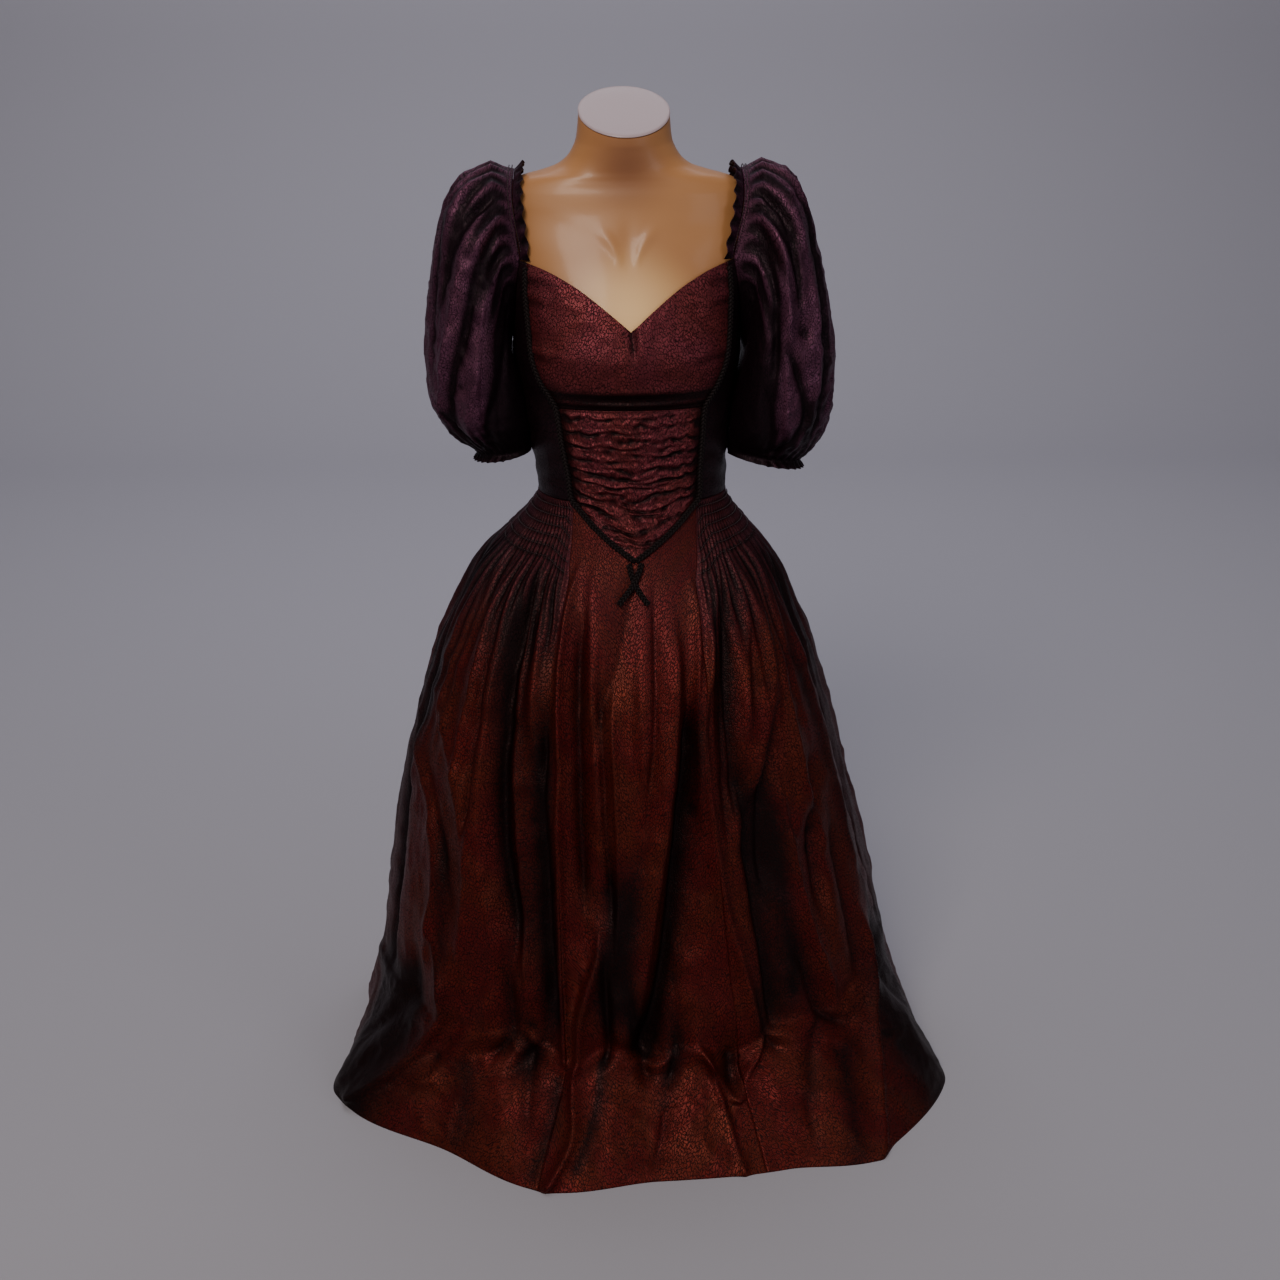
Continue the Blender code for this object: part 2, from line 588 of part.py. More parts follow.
def neckline_height(angle):
    # The sweetheart rises from its point to the corners and then falls to the back of the neck
    around = abs(angle)
    if around <= NECK_CORNER_ANGLE:
        share = math.sin(math.radians(around)) / math.sin(math.radians(NECK_CORNER_ANGLE))
        return NECK_POINT_HEIGHT + (NECK_CORNER_HEIGHT - NECK_POINT_HEIGHT) * share ** 0.93
    back_corner = 180.0 - NECK_CORNER_ANGLE
    if around >= back_corner:
        share = ramp(around, back_corner, 165.0)
        return NECK_CORNER_HEIGHT + (BACK_NECK_HEIGHT - NECK_CORNER_HEIGHT) * share
    share = (around - 90.0) / (90.0 - NECK_CORNER_ANGLE)
    depth = NECK_CORNER_HEIGHT - UNDERARM_HEIGHT
    return NECK_CORNER_HEIGHT - depth * math.sqrt(max(0.0, 1.0 - share * share))


def panel_rows(shares_across, shares_up, place, inset):
    # Rows of a bodice panel; place gives an angle, a height and a lift for two shares
    rows = []
    for up in shares_up:
        row = []
        for across in shares_across:
            angle, height, lift = place(across, up)
            row.append(bodice_point(angle, height, lift - inset))
        keep_gap(row, rows_gap_angle(row))
        rows.append(row)
    return rows


def even(count):
    return [i / count for i in range(count + 1)]


def bodice_panel(name, shares_across, shares_up, place, material):
    outer = panel_rows(shares_across, shares_up, place, 0.0)
    inner = panel_rows(shares_across, shares_up, place, CLOTH_WALL)
    return wall_object(name, outer, inner, material)


def bust_place(across, up):
    # Smooth cups with two shallow folds that lie over the underbust seam
    top_angle = PRINCESS[-1].angle * (2.0 * across - 1.0)
    base = UNDERBUST_HEIGHT + SEAM_GAP / 2.0
    edge = neckline_height(top_angle)
    height = base + (edge - base) * up
    edge_height = base + (PRINCESS[-1].height - base) * up
    angle = princess_angle(edge_height) * (2.0 * across - 1.0)
    middle = math.sin(math.pi * across) ** 0.5
    fold = math.exp(-((height - 0.916) / 0.004) ** 2) + 0.8 * math.exp(-((height - 0.929) / 0.005) ** 2)
    return angle, height, 0.0022 * fold * middle


def midriff_place(across, up):
    # Ruched between the princess seams in creases that sag towards the basque point
    low = waist_seam_height(BASQUE_HALF_ANGLE * (2.0 * across - 1.0)) + SEAM_GAP / 2.0
    high = UNDERBUST_HEIGHT - SEAM_GAP / 2.0
    step = round(up * 2 * RUCHE_COUNT)
    uneven = 0.006 * math.sin(2.1 * step + 3.0 * across) * math.sin(math.pi * up)
    height = low + (high - low) * (up + uneven)
    edge_height = WAIST_HEIGHT + (UNDERBUST_HEIGHT - WAIST_HEIGHT) * up
    angle = princess_angle(edge_height) * (2.0 * across - 1.0)
    from_seam = min(across, 1.0 - across)
    share = ramp(from_seam, 0.045, 0.14) * (1.0 - 0.35 * ramp(from_seam, 0.2, 0.5))
    share *= ramp(up, 0.05, 0.15) * (1.0 - ramp(up, 0.90, 0.98))
    size = RUCHE_HEIGHT * (0.85 + 0.35 * math.sin(1.7 * step + 4.0 * across))
    return angle, height, size * share * (step % 2)


def side_front_place(side):
    def place(across, up):
        share = across if side > 0.0 else 1.0 - across
        low = WAIST_HEIGHT + SEAM_GAP / 2.0
        top_angle = PRINCESS[-1].angle + (SIDE_SEAM_ANGLE - PRINCESS[-1].angle) * share
        height = low + (neckline_height(top_angle) - low) * up
        edge_height = low + (PRINCESS[-1].height - low) * up
        seam = princess_angle(edge_height)
        return side * (seam + (SIDE_SEAM_ANGLE - seam) * share), height, 0.0
    return place


def back_place(side):
    def place(across, up):
        share = across if side > 0.0 else 1.0 - across
        low = WAIST_HEIGHT + SEAM_GAP / 2.0
        angle = SIDE_SEAM_ANGLE + (180.0 - SIDE_SEAM_ANGLE) * share
        height = low + (neckline_height(angle) - low) * up
        return side * angle, height, 0.0
    return place


def build_bodice(wine, dark):
    top = PRINCESS[-1].height
    princess_up = [(row.height - UNDERBUST_HEIGHT) / (top - UNDERBUST_HEIGHT) for row in PRINCESS[1:]]
    bust_up = sorted(princess_up + [0.03, 0.07, 0.115, 0.155, 0.35, 0.64, 0.90])
    bodice_panel("bust_panel", even(14), bust_up, bust_place, wine)
    across = (0.0, 0.045, 0.14, 0.26, 0.38, 0.5, 0.62, 0.74, 0.86, 0.955, 1.0)
    bodice_panel("midriff_panel", across, even(2 * RUCHE_COUNT), midriff_place, wine)
    side_up = [(row.height - WAIST_HEIGHT) / (top - WAIST_HEIGHT) for row in PRINCESS]
    side_up = sorted(side_up + [0.13, 0.27, 0.465, 0.58, 0.64])
    for name, side in SIDES:
        bodice_panel("side_front_" + name, even(7), side_up, side_front_place(side), dark)
        bodice_panel("bodice_back_" + name, even(12), side_up, back_place(side), dark)


def build_skirt(copper):
    panels = (
        ("skirt_centre_front", "right", "left", 20, False),
        ("skirt_side_front_left", "left", "left_side", 24, True),
        ("skirt_side_front_right", "right_side", "right", 24, True),
        ("skirt_back_left", "left_side", "left_back", 20, True),
        ("skirt_back_right", "right_back", "right_side", 20, True),
    )
    for name, start, end, columns, shirred in panels:
        outer = skirt_rows(start, end, columns, shirred, 0.0)
        inner = skirt_rows(start, end, columns, shirred, CLOTH_WALL)
        wall_object(name, outer, inner, copper)


def head_point(side, turn, inset):
    # The sleeve's seam: below the neckline corner it lies on the bodice, above it goes over the shoulder
    y = SLEEVE_HEAD_CENTRE_Y - (SLEEVE_HEAD_DEPTH - inset) * math.sin(turn)
    z = NECK_CORNER_HEIGHT + (SLEEVE_HEAD_HALF_HEIGHT - inset) * math.cos(turn)
    if z <= NECK_CORNER_HEIGHT:
        return Vector((bodice_reach(side, y, z) + side * SLEEVE_HEAD_GAP, y, z))
    corner = bodice_reach(side, y, NECK_CORNER_HEIGHT) + side * SLEEVE_HEAD_GAP
    share = math.cos(turn)
    return Vector((corner + (side * 0.143 - corner) * share, y, z))


def sleeve_lift(name, turn_degrees, ring, column_index):
    lift = HEAD_GATHER * HEAD_GATHER_SHARE[ring] * (column_index % 2)
    lift += CUFF_GATHER * CUFF_GATHER_SHARE[ring] * (column_index % 2)
    for fold in SLEEVE_FOLDS[name]:
        along = (ring - fold.ring0) / (fold.ring1 - fold.ring0)
        centre = fold.turn0 + (fold.turn1 - fold.turn0) * min(1.0, max(0.0, along))
        away = ((turn_degrees - centre + 180.0) % 360.0 - 180.0) / fold.spread
        fade = ramp(along, -0.25, 0.15) * (1.0 - ramp(along, 0.8, 1.15))
        lift += fold.height * fade * math.exp(-away * away)
    return lift


def ring_point(ring, side, turn, lift, inset):
    inner = Vector((side * ring.inner_x, 0.0, ring.inner_z))
    outer = Vector((side * ring.outer_x, 0.0, ring.outer_z))
    middle = (inner + outer) / 2.0
    long_half = (outer - inner).length / 2.0 + lift - inset
    outward = (outer - inner).normalized()
    point = middle + outward * long_half * math.cos(turn)
    point.y = ring.centre_y - (ring.depth + lift - inset) * math.sin(turn)
    # The soft sleeve is pressed flat where it lies against the bodice
    nearest = side * bodice_reach(side, point.y, point.z) + SLEEVE_CLEARANCE + inset
    point.x = side * max(side * point.x, nearest)
    return point


def sleeve_net(name, side, inset):
    turns = [2.0 * math.pi * i / SLEEVE_COLUMNS for i in range(SLEEVE_COLUMNS)]
    rows = [[head_point(side, turn, inset) for turn in turns]]
    for number, ring in enumerate(SLEEVE_RINGS[name], start=1):
        row = []
        for i, turn in enumerate(turns):
            degrees = math.degrees(turn)
            lift = sleeve_lift(name, degrees, number, i)
            # Next to the body the sleeve lies plain, clear of the bodice
            lift *= 0.5 + 0.5 * math.cos(turn) if lift > 0.0 and math.cos(turn) < 0.0 else 1.0
            row.append(ring_point(ring, side, turn, lift, inset))
        rows.append(row)
    return rows


def build_sleeve(name, side, plum):
    outer = sleeve_net(name, side, 0.0)
    inner = sleeve_net(name, side, CLOTH_WALL)
    wall_object("sleeve_" + name, outer, inner, plum, around=True)


def ruffle_net(side, inset):
    # From the elastic line the heading stands towards the neck in small waves
    start = math.radians(-86.0)
    count = 2 * RUFFLE_WAVES
    rows = []
    for share in (0.0, 0.55, 1.0):
        row = []
        for i in range(count + 1):
            turn = start * (1.0 - 2.0 * i / count)
            wave = RUFFLE_WAVE * share * (i % 2)
            point = head_point(side, turn, inset - RUFFLE_RISE * share - wave)
            point.x = head_point(side, turn, 0.0).x - side * (SEAM_GAP + RUFFLE_WIDTH * share)
            row.append(point)
        rows.append(row)
    return rows


def build_ruffle(name, side, plum):
    wall_object("sleeve_ruffle_" + name, ruffle_net(side, 0.0), ruffle_net(side, RUFFLE_WALL), plum)


def braid_route(side):
    # Down the princess seam to the waist, then along the basque seam to its point
    route = []
    top = PRINCESS[-1].height - 0.008
    for i in range(BRAID_STATIONS + 1):
        share = i / BRAID_STATIONS
        if share <= BRAID_CORNER:
            height = top + (WAIST_HEIGHT - top) * share / BRAID_CORNER
            route.append((side * princess_angle(height), height))
        else:
            along = (share - BRAID_CORNER) / (1.0 - BRAID_CORNER)
            angle = side * (BASQUE_HALF_ANGLE + (2.6 - BASQUE_HALF_ANGLE) * along)
            route.append((angle, waist_seam_height(angle)))
    return route


def surface_normal(angle, height):
    step_round = bodice_point(angle + 0.5, height) - bodice_point(angle - 0.5, height)
    step_up = bodice_point(angle, height + 0.006) - bodice_point(angle, height - 0.006)
    return step_round.cross(step_up).normalized()


def braid_object(name, route, lift, material):
    # A half-round strip that follows a route on the bodice's face
    points = [bodice_point(angle, height) for angle, height in route]
    rings = []
    for i, (angle, height) in enumerate(route):
        ahead = points[min(i + 1, len(points) - 1)] - points[max(i - 1, 0)]
        normal = surface_normal(angle, height)
        across = normal.cross(ahead).normalized()
        base = points[i] + normal * (BRAID_LIFT + lift(i / (len(route) - 1)))
        profile = ((-0.5, 0.0), (-0.40, 0.62), (0.0, 1.0), (0.40, 0.62), (0.5, 0.0))
        rings.append([base + across * BRAID_WIDTH * w + normal * BRAID_HEIGHT * h for w, h in profile])
    solid_object(name, rings, material)


def corner_lift(share):
    # The braid bridges the hollow of the waist where it turns into the basque seam
    return BRAID_CORNER_LIFT * math.exp(-((share - BRAID_CORNER) / 0.06) ** 2)


def build_braids(black):
    for name, side in SIDES:
        braid_object("braid_" + name, braid_route(side), corner_lift, black)
    # The tie ends cross under the basque point, and the left one passes over the right one
    for name, side, over in (("right", -1.0, TIE_LIFT), ("left", 1.0, TIE_LIFT + TIE_CROSS_LIFT)):
        route = []
        for i in range(7):
            share = i / 6
            drop = 0.004 + TIE_LENGTH * share * 0.86
            route.append((side * (3.4 - 9.4 * share), BASQUE_POINT_HEIGHT - drop))
        braid_object("tie_end_" + name, route, lambda share, over=over: over, black)


def form_sections():
    # Under the bodice the form keeps the same sections, smaller by the wall and the ease
    inset = CLOTH_WALL + FORM_EASE
    worn = []
    for row in GOWN:
        if row.height >= WAIST_HEIGHT:
            sizes = (row.half - inset, row.front - inset, row.back - inset)
            worn.append(Section(row.height, row.centre, *sizes))
    return FORM_HIPS + tuple(worn) + FORM_SHOULDERS


def form_ring(section, slope=0.0, growth=0.0, rise=0.0):
    power = BODY_POWER + (NECK_POWER - BODY_POWER) * ramp(section.height, NECK_CORNER_HEIGHT, 1.150)
    ring = []
    for i in range(FORM_COLUMNS):
        angle = 360.0 * i / FORM_COLUMNS
        point = polar(section.centre, angle, ring_radius(section, angle, power) + growth, section.height)
        point.z += slope * point.y + rise
        ring.append(point)
    return ring


def build_form(skin, pale):
    rings = [form_ring(section) for section in form_sections()]
    rings.append(form_ring(NECK_TOP, NECK_SLOPE))
    solid_object("form_torso", rings, skin)
    cap = [
        form_ring(NECK_TOP, NECK_SLOPE, -0.0010, SEAM_GAP),
        form_ring(NECK_TOP, NECK_SLOPE, CAP_GROWTH, SEAM_GAP + 0.3 * CAP_THICKNESS),
        form_ring(NECK_TOP, NECK_SLOPE, CAP_GROWTH, SEAM_GAP + 0.7 * CAP_THICKNESS),
        form_ring(NECK_TOP, NECK_SLOPE, -0.0020, SEAM_GAP + CAP_THICKNESS),
    ]
    solid_object("neck_cap", cap, pale)


def level_ring(radius, height, count):
    return [polar(0.0, 360.0 * i / count, radius, height) for i in range(count)]


def build_stand(steel):
    base = (
        (BASE_RADIUS, 0.0),
        (BASE_RADIUS, BASE_EDGE),
        (BASE_RADIUS - 0.004, BASE_EDGE + 0.003),
        (BASE_RADIUS * 0.55, BASE_EDGE + 0.007),
        (HUB_RADIUS, BASE_EDGE + 0.012),
        (HUB_RADIUS * 0.8, HUB_HEIGHT),
    )
    solid_object("stand_base", [level_ring(radius, height, 32) for radius, height in base], steel)
    foot = HUB_HEIGHT + SEAM_GAP
    top = FORM_HIPS[0].height - SEAM_GAP
    solid_object("stand_pole", [level_ring(POLE_RADIUS, height, 20) for height in (foot, top)], steel)


def clear_scene():
    for thing in list(bpy.data.objects):
        bpy.data.objects.remove(thing, do_unlink=True)


def main():
    clear_scene()
    copper = make_material("taffeta_copper_brown", (0.050, 0.012, 0.008), 0.42, sheen=0.3)
    wine = make_material("taffeta_wine", (0.060, 0.018, 0.020), 0.42, sheen=0.3)
    dark = make_material("taffeta_side_panel", (0.014, 0.008, 0.010), 0.45, sheen=0.3)
    plum = make_material("taffeta_plum", (0.026, 0.012, 0.018), 0.42, sheen=0.3)
    black = make_material("braid_black_wine", (0.010, 0.005, 0.006), 0.55)
    skin = make_material("form_tan_plastic", (0.46, 0.26, 0.13), 0.30)
    pale = make_material("form_pale_cap", (0.48, 0.40, 0.39), 0.45)
    steel = make_material("stand_painted_steel", (0.12, 0.12, 0.12), 0.40, metallic=0.6)
    build_form(skin, pale)
    build_stand(steel)
    build_bodice(wine, dark)
    build_skirt(copper)
    for name, side in SIDES:
        build_sleeve(name, side, plum)
        build_ruffle(name, side, plum)
    build_braids(black)


main()
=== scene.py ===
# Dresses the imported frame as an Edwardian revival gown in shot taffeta, on a limbless dress form
import math

import bmesh
import bpy
import numpy as np
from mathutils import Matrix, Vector, noise


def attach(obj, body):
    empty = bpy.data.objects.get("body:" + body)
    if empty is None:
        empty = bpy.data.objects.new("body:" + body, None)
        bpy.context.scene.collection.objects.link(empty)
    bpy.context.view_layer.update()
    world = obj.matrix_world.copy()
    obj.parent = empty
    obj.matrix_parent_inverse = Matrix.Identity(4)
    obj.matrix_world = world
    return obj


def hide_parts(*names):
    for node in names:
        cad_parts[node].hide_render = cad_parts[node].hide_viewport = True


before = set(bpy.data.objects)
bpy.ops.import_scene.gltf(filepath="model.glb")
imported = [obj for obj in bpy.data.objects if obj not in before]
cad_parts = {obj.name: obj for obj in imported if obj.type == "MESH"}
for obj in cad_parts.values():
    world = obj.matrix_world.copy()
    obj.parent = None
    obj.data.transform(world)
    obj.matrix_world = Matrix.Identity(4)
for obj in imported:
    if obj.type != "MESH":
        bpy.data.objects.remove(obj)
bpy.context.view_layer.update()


# helpers

def curveThrough(x, knots, values):
    # smooth curve through a table's rows that never swings past them
    x = np.asarray(x, float)
    k = np.asarray(knots, float)
    v = np.asarray(values, float)
    slope = np.diff(v) / np.diff(k)
    tangent = np.zeros(len(k))
    tangent[0], tangent[-1] = slope[0], slope[-1]
    product = slope[:-1] * slope[1:]
    total = slope[:-1] + slope[1:]
    tangent[1:-1] = np.where(product > 0, 2 * product / np.where(total == 0, 1, total), 0.0)
    inside = np.clip(x, k[0], k[-1])
    i = np.clip(np.searchsorted(k, inside, side="right") - 1, 0, len(k) - 2)
    step = k[i + 1] - k[i]
    t = (inside - k[i]) / step
    start = (1 + 2 * t) * (1 - t) ** 2 * v[i] + t * (1 - t) ** 2 * step * tangent[i]
    end = t * t * (3 - 2 * t) * v[i + 1] + t * t * (t - 1) * step * tangent[i + 1]
    return start + end


def ramp(x, start, end):
    t = np.clip((np.asarray(x, float) - start) / (end - start), 0, 1)
    return t * t * (3 - 2 * t)


def columnsOf(table):
    return [np.array(column, float) for column in zip(*table)]


def curvesOf(table, x):
    # a smooth curve for each column of the table, read at x in its first column
    knots, *columns = columnsOf(table)
    return [curveThrough(x, knots, column) for column in columns]


def hexColour(code):
    # sRGB hex to the linear values the shader wants
    parts = [int(code[i:i + 2], 16) / 255 for i in (1, 3, 5)]
    linear = [p / 12.92 if p <= 0.04045 else ((p + 0.055) / 1.055) ** 2.4 for p in parts]
    return (*linear, 1.0)


def addNode(tree, kind, settings=None, inputs=None):
    # one node, its settings, and its inputs as values or as links from other sockets
    node = tree.nodes.new(kind)
    for name, value in (settings or {}).items():
        setattr(node, name, value)
    for key, value in (inputs or {}).items():
        socket = node.inputs[key]
        if isinstance(value, bpy.types.NodeSocket):
            tree.links.new(value, socket)
        else:
            socket.default_value = value
    return node


def addMath(tree, operation, *values, clamp=False):
    return addNode(tree, "ShaderNodeMath", {"operation": operation, "use_clamp": clamp},
                   dict(enumerate(values))).outputs["Value"]


def addVectorMath(tree, operation, *values):
    keys = (0, "Scale") if operation == "SCALE" else (0, 1)
    node = addNode(tree, "ShaderNodeVectorMath", {"operation": operation}, dict(zip(keys, values)))
    return node.outputs["Value" if operation == "DISTANCE" else "Vector"]


def addObject(name, data):
    thing = bpy.data.objects.new(name, data)
    bpy.context.collection.objects.link(thing)
    return thing


def nodeName(pieceName):
    # skirtCentreFront takes the place of the node skirt_centre_front
    return "".join("_" + letter.lower() if letter.isupper() else letter for letter in pieceName)


# gown shape, repeated from the construction

gownForm = {
    "power": 2.3,
    "waistHeight": 0.785,
    "basquePoint": 0.720,
    "basqueAngle": 45.5,
    "underbust": 0.908,
    "neckPoint": 1.009,
    "neckCorner": 1.090,
    "backNeck": 1.062,
    "underarm": 0.985,
    "cornerAngle": 70.0,
    "sideSeam": 91.0,
    # angle and height of the bend where the skirt turns out into its band
    "breakHeight": [
        (-180, 0.140), (-130, 0.150), (-90, 0.138), (-62, 0.134), (-45, 0.128), (-30, 0.136),
        (-18, 0.112), (-8, 0.128), (1, 0.108), (10, 0.128), (19, 0.110), (30, 0.132),
        (45, 0.135), (62, 0.170), (90, 0.170), (130, 0.150), (180, 0.140),
    ],
    # height, centre in x, half width, front reach, back reach
    "sections": [
        (0.100, 0.011, 0.347, 0.298, 0.304), (0.226, 0.003, 0.331, 0.286, 0.292),
        (0.300, -0.002, 0.318, 0.276, 0.282), (0.373, -0.006, 0.303, 0.264, 0.268),
        (0.455, -0.008, 0.283, 0.248, 0.250), (0.522, -0.008, 0.262, 0.230, 0.230),
        (0.581, -0.007, 0.242, 0.210, 0.208), (0.639, -0.004, 0.215, 0.184, 0.180),
        (0.684, -0.001, 0.193, 0.160, 0.153), (0.720, 0.002, 0.167, 0.138, 0.129),
        (0.740, 0.003, 0.152, 0.124, 0.114), (0.758, 0.004, 0.137, 0.112, 0.100),
        (0.785, 0.005, 0.1235, 0.098, 0.078), (0.810, 0.004, 0.1245, 0.098, 0.078),
        (0.842, 0.002, 0.1285, 0.100, 0.081), (0.880, 0.000, 0.134, 0.102, 0.085),
        (0.908, -0.001, 0.138, 0.102, 0.088), (0.925, -0.001, 0.140, 0.109, 0.089),
        (0.945, -0.002, 0.143, 0.119, 0.091), (0.970, -0.002, 0.1465, 0.124, 0.093),
        (1.000, -0.002, 0.147, 0.118, 0.095), (1.050, -0.003, 0.152, 0.102, 0.096),
        (1.090, -0.004, 0.158, 0.085, 0.094),
    ],
    # angle and distance of the hem on the floor
    "hem": [
        (-180, 0.412), (-150, 0.402), (-120, 0.388), (-97, 0.370), (-75, 0.408), (-62, 0.459), (-56, 0.458),
        (-36.6, 0.434), (-15.8, 0.466), (2.1, 0.435), (23.5, 0.455), (37.5, 0.501), (42, 0.492),
        (61.3, 0.479), (75, 0.424), (97, 0.394), (120, 0.408), (150, 0.400), (180, 0.412),
    ],
    # height and angle of the princess seams
    "princess": [(0.785, 45.5), (0.908, 48.5), (0.944, 54.0), (1.000, 60.0), (1.050, 63.5), (1.0873, 65.0)],
}


def sectionAt(height):
    return curvesOf(gownForm["sections"], height)


def ringRadius(angle, half, front, back, power=gownForm["power"]):
    turn = np.radians(angle)
    reach = np.where(np.cos(turn) > 0, front, back)
    return ((np.abs(np.sin(turn)) / half) ** power + (np.abs(np.cos(turn)) / reach) ** power) ** (-1 / power)


def polarPoints(centre, angle, radius, height):
    turn = np.radians(angle)
    return np.stack([centre + radius * np.sin(turn), -radius * np.cos(turn), height + 0 * radius], axis=-1)


def bodicePoints(angle, height, lift=0.0):
    centre, half, front, back = sectionAt(height)
    return polarPoints(centre, angle, ringRadius(angle, half, front, back) + lift, height)


def waistSeamHeight(angle):
    share = np.clip(np.abs(angle) / gownForm["basqueAngle"], 0, 1)
    return gownForm["basquePoint"] + (gownForm["waistHeight"] - gownForm["basquePoint"]) * share


def crumple(points, size, depth, seed):
    # small uneven crush of the taffeta, sharper on its ridges than in its hollows
    flat = points.reshape(-1, 3)
    shift = Vector((seed * 3.1, seed * 1.7, seed * 2.3))
    values = [1 - abs(noise.noise(Vector(p) / size + shift)) * 2 for p in flat.tolist()]
    return depth * np.array(values).reshape(points.shape[:-1])


def clothGrid(name, points, material, wall, around=False, paintedShade=0.0, wine=0.0):
    # a sheet through rows of points, with its cloth laid flat in metres as the UV map, and two attributes of
    # painted shade:
    # how dark a point is painted where it lies between folds or in a fold's shade, and how far the colour
    # turns to dull wine where the cloth is shaded
    rows, columns = points.shape[:2]
    layers = {"paintedShade": paintedShade + np.zeros((rows, columns)), "wine": wine + np.zeros((rows, columns))}
    if around:
        points = np.concatenate([points, points[:, :1]], axis=1)
        columns += 1
    across = np.cumsum(np.linalg.norm(np.diff(points, axis=1), axis=2), axis=1)
    across = np.concatenate([np.zeros((rows, 1)), across], axis=1)
    across = across - across[:, columns // 2][:, None]
    down = np.cumsum(np.linalg.norm(np.diff(points, axis=0), axis=2), axis=0)
    down = np.concatenate([np.zeros((1, columns)), down], axis=0)
    used = columns - 1 if around else columns
    index = np.arange(rows * used).reshape(rows, used)
    loop = np.concatenate([index, index[:, :1]], axis=1) if around else index
    faces = np.stack([loop[:-1, :-1], loop[:-1, 1:], loop[1:, 1:], loop[1:, :-1]], axis=-1).reshape(-1, 4)
    mesh = bpy.data.meshes.new(name)
    mesh.from_pydata(points[:, :used].reshape(-1, 3).tolist(), [], faces.tolist())
    grid = np.stack([across, down], axis=-1)
    corners = np.stack([grid[:-1, :-1], grid[:-1, 1:], grid[1:, 1:], grid[1:, :-1]], axis=2).reshape(-1, 2)
    layer = mesh.uv_layers.new(name="clothMetres")
    layer.data.foreach_set("uv", corners.ravel())
    for label, values in layers.items():
        shade = mesh.attributes.new(label, "FLOAT", "POINT")
        shade.data.foreach_set("value", np.clip(values, 0, 1).ravel())
    turnOutwards(mesh, points)
    mesh.shade_smooth()
    mesh.materials.append(material)
    thing = addObject(name, mesh)
    if wall:
        solid = thing.modifiers.new("wall", "SOLIDIFY")
        solid.thickness = wall
        solid.offset = -1
    settle(thing, nodeName(name))
    return thing


# metres from the centre line beyond which a piece is turned by its own middle
farOut = 0.12


def turnOutwards(mesh, points):
    # faces look away from the middle of the gown, or of the piece itself if it lies far out
    mesh.update()
    normals = np.zeros(len(mesh.polygons) * 3)
    centres = np.zeros(len(mesh.polygons) * 3)
    mesh.polygons.foreach_get("normal", normals)
    mesh.polygons.foreach_get("center", centres)
    middle = points[..., 0].mean()
    axis = [middle if abs(middle) > farOut else 0.0, 0.0, 0.0]
    away = (centres.reshape(-1, 3) - axis) * [1, 1, 0]
    if (normals.reshape(-1, 3) * away).sum() < 0:
        mesh.flip_normals()


def settle(thing, node=None):
    # every piece belongs to the one fixed body, and may take the place of a CAD node
    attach(thing, "root")
    if node:
        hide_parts(node)


# finishes

taffetaLook = {
    "crackleCell": 0.0034,        # metres between the dark crackle lines
    "crackleStretch": 0.62,       # the crackle runs a little longer down the cloth than across it
    "crackleWarp": 0.0034,        # how far the lines stray
    "crackleLine": 0.21,          # width of a line, as a share of the cell
    "wander": 0.006,              # metres between the bends of the lines
    "mottle": 0.022,              # metres between lighter and darker patches
    "drift": 0.070,               # metres over which the hue drifts
    "weaveThread": 0.0011,        # drawn coarser than the real 0.2 mm yarn so that it shows
    "shadeStrength": 0.90,          # how far the painted shade in the hollows between folds goes towards black
    "shadeTone": "#060203",
    # painted shade tone where the skirt is shaded under the waist and at its sides
    "wineShadeTone": "#42202a",
    # weft on the ridges, warp in the crackle. The skirt, bodice and sleeves are one cloth: their copper, wine
    # and plum tints are painted light, for the different light on each part
    "skirt": ("#5e1c11", "#140302"),
    "bodice": ("#6f2d31", "#1a0608"),
    "side": ("#2a151b", "#070407"),
    "sleeve": ("#683c52", "#180a14"),
}


def newFinish(name):
    material = bpy.data.materials.new(name)
    material.use_nodes = True
    return material, material.node_tree, material.node_tree.nodes["Principled BSDF"]


def setShader(shader, values):
    for name, value in values.items():
        shader.inputs[name].default_value = value


def addNoise(tree, place, scale, detail, dimensions="3D"):
    return addNode(tree, "ShaderNodeTexNoise", {"noise_dimensions": dimensions},
                   {"Vector": place, "Scale": scale, "Detail": detail})


def addRange(tree, value, fromMin, fromMax, toMin, toMax, shape="LINEAR"):
    return addNode(tree, "ShaderNodeMapRange", {"interpolation_type": shape},
                   {"Value": value, "From Min": fromMin, "From Max": fromMax,
                    "To Min": toMin, "To Max": toMax}).outputs["Result"]


def mixColours(tree, factor, first, second):
    ends = [hexColour(end) if isinstance(end, str) else end for end in (first, second)]
    return addNode(tree, "ShaderNodeMix", {"data_type": "RGBA"},
                   {"Factor": factor, "A": ends[0], "B": ends[1]}).outputs["Result"]


def addBump(tree, shader, height, strength, distance):
    bump = addNode(tree, "ShaderNodeBump", None,
                   {"Height": height, "Strength": strength, "Distance": distance})
    tree.links.new(bump.outputs["Normal"], shader.inputs["Normal"])


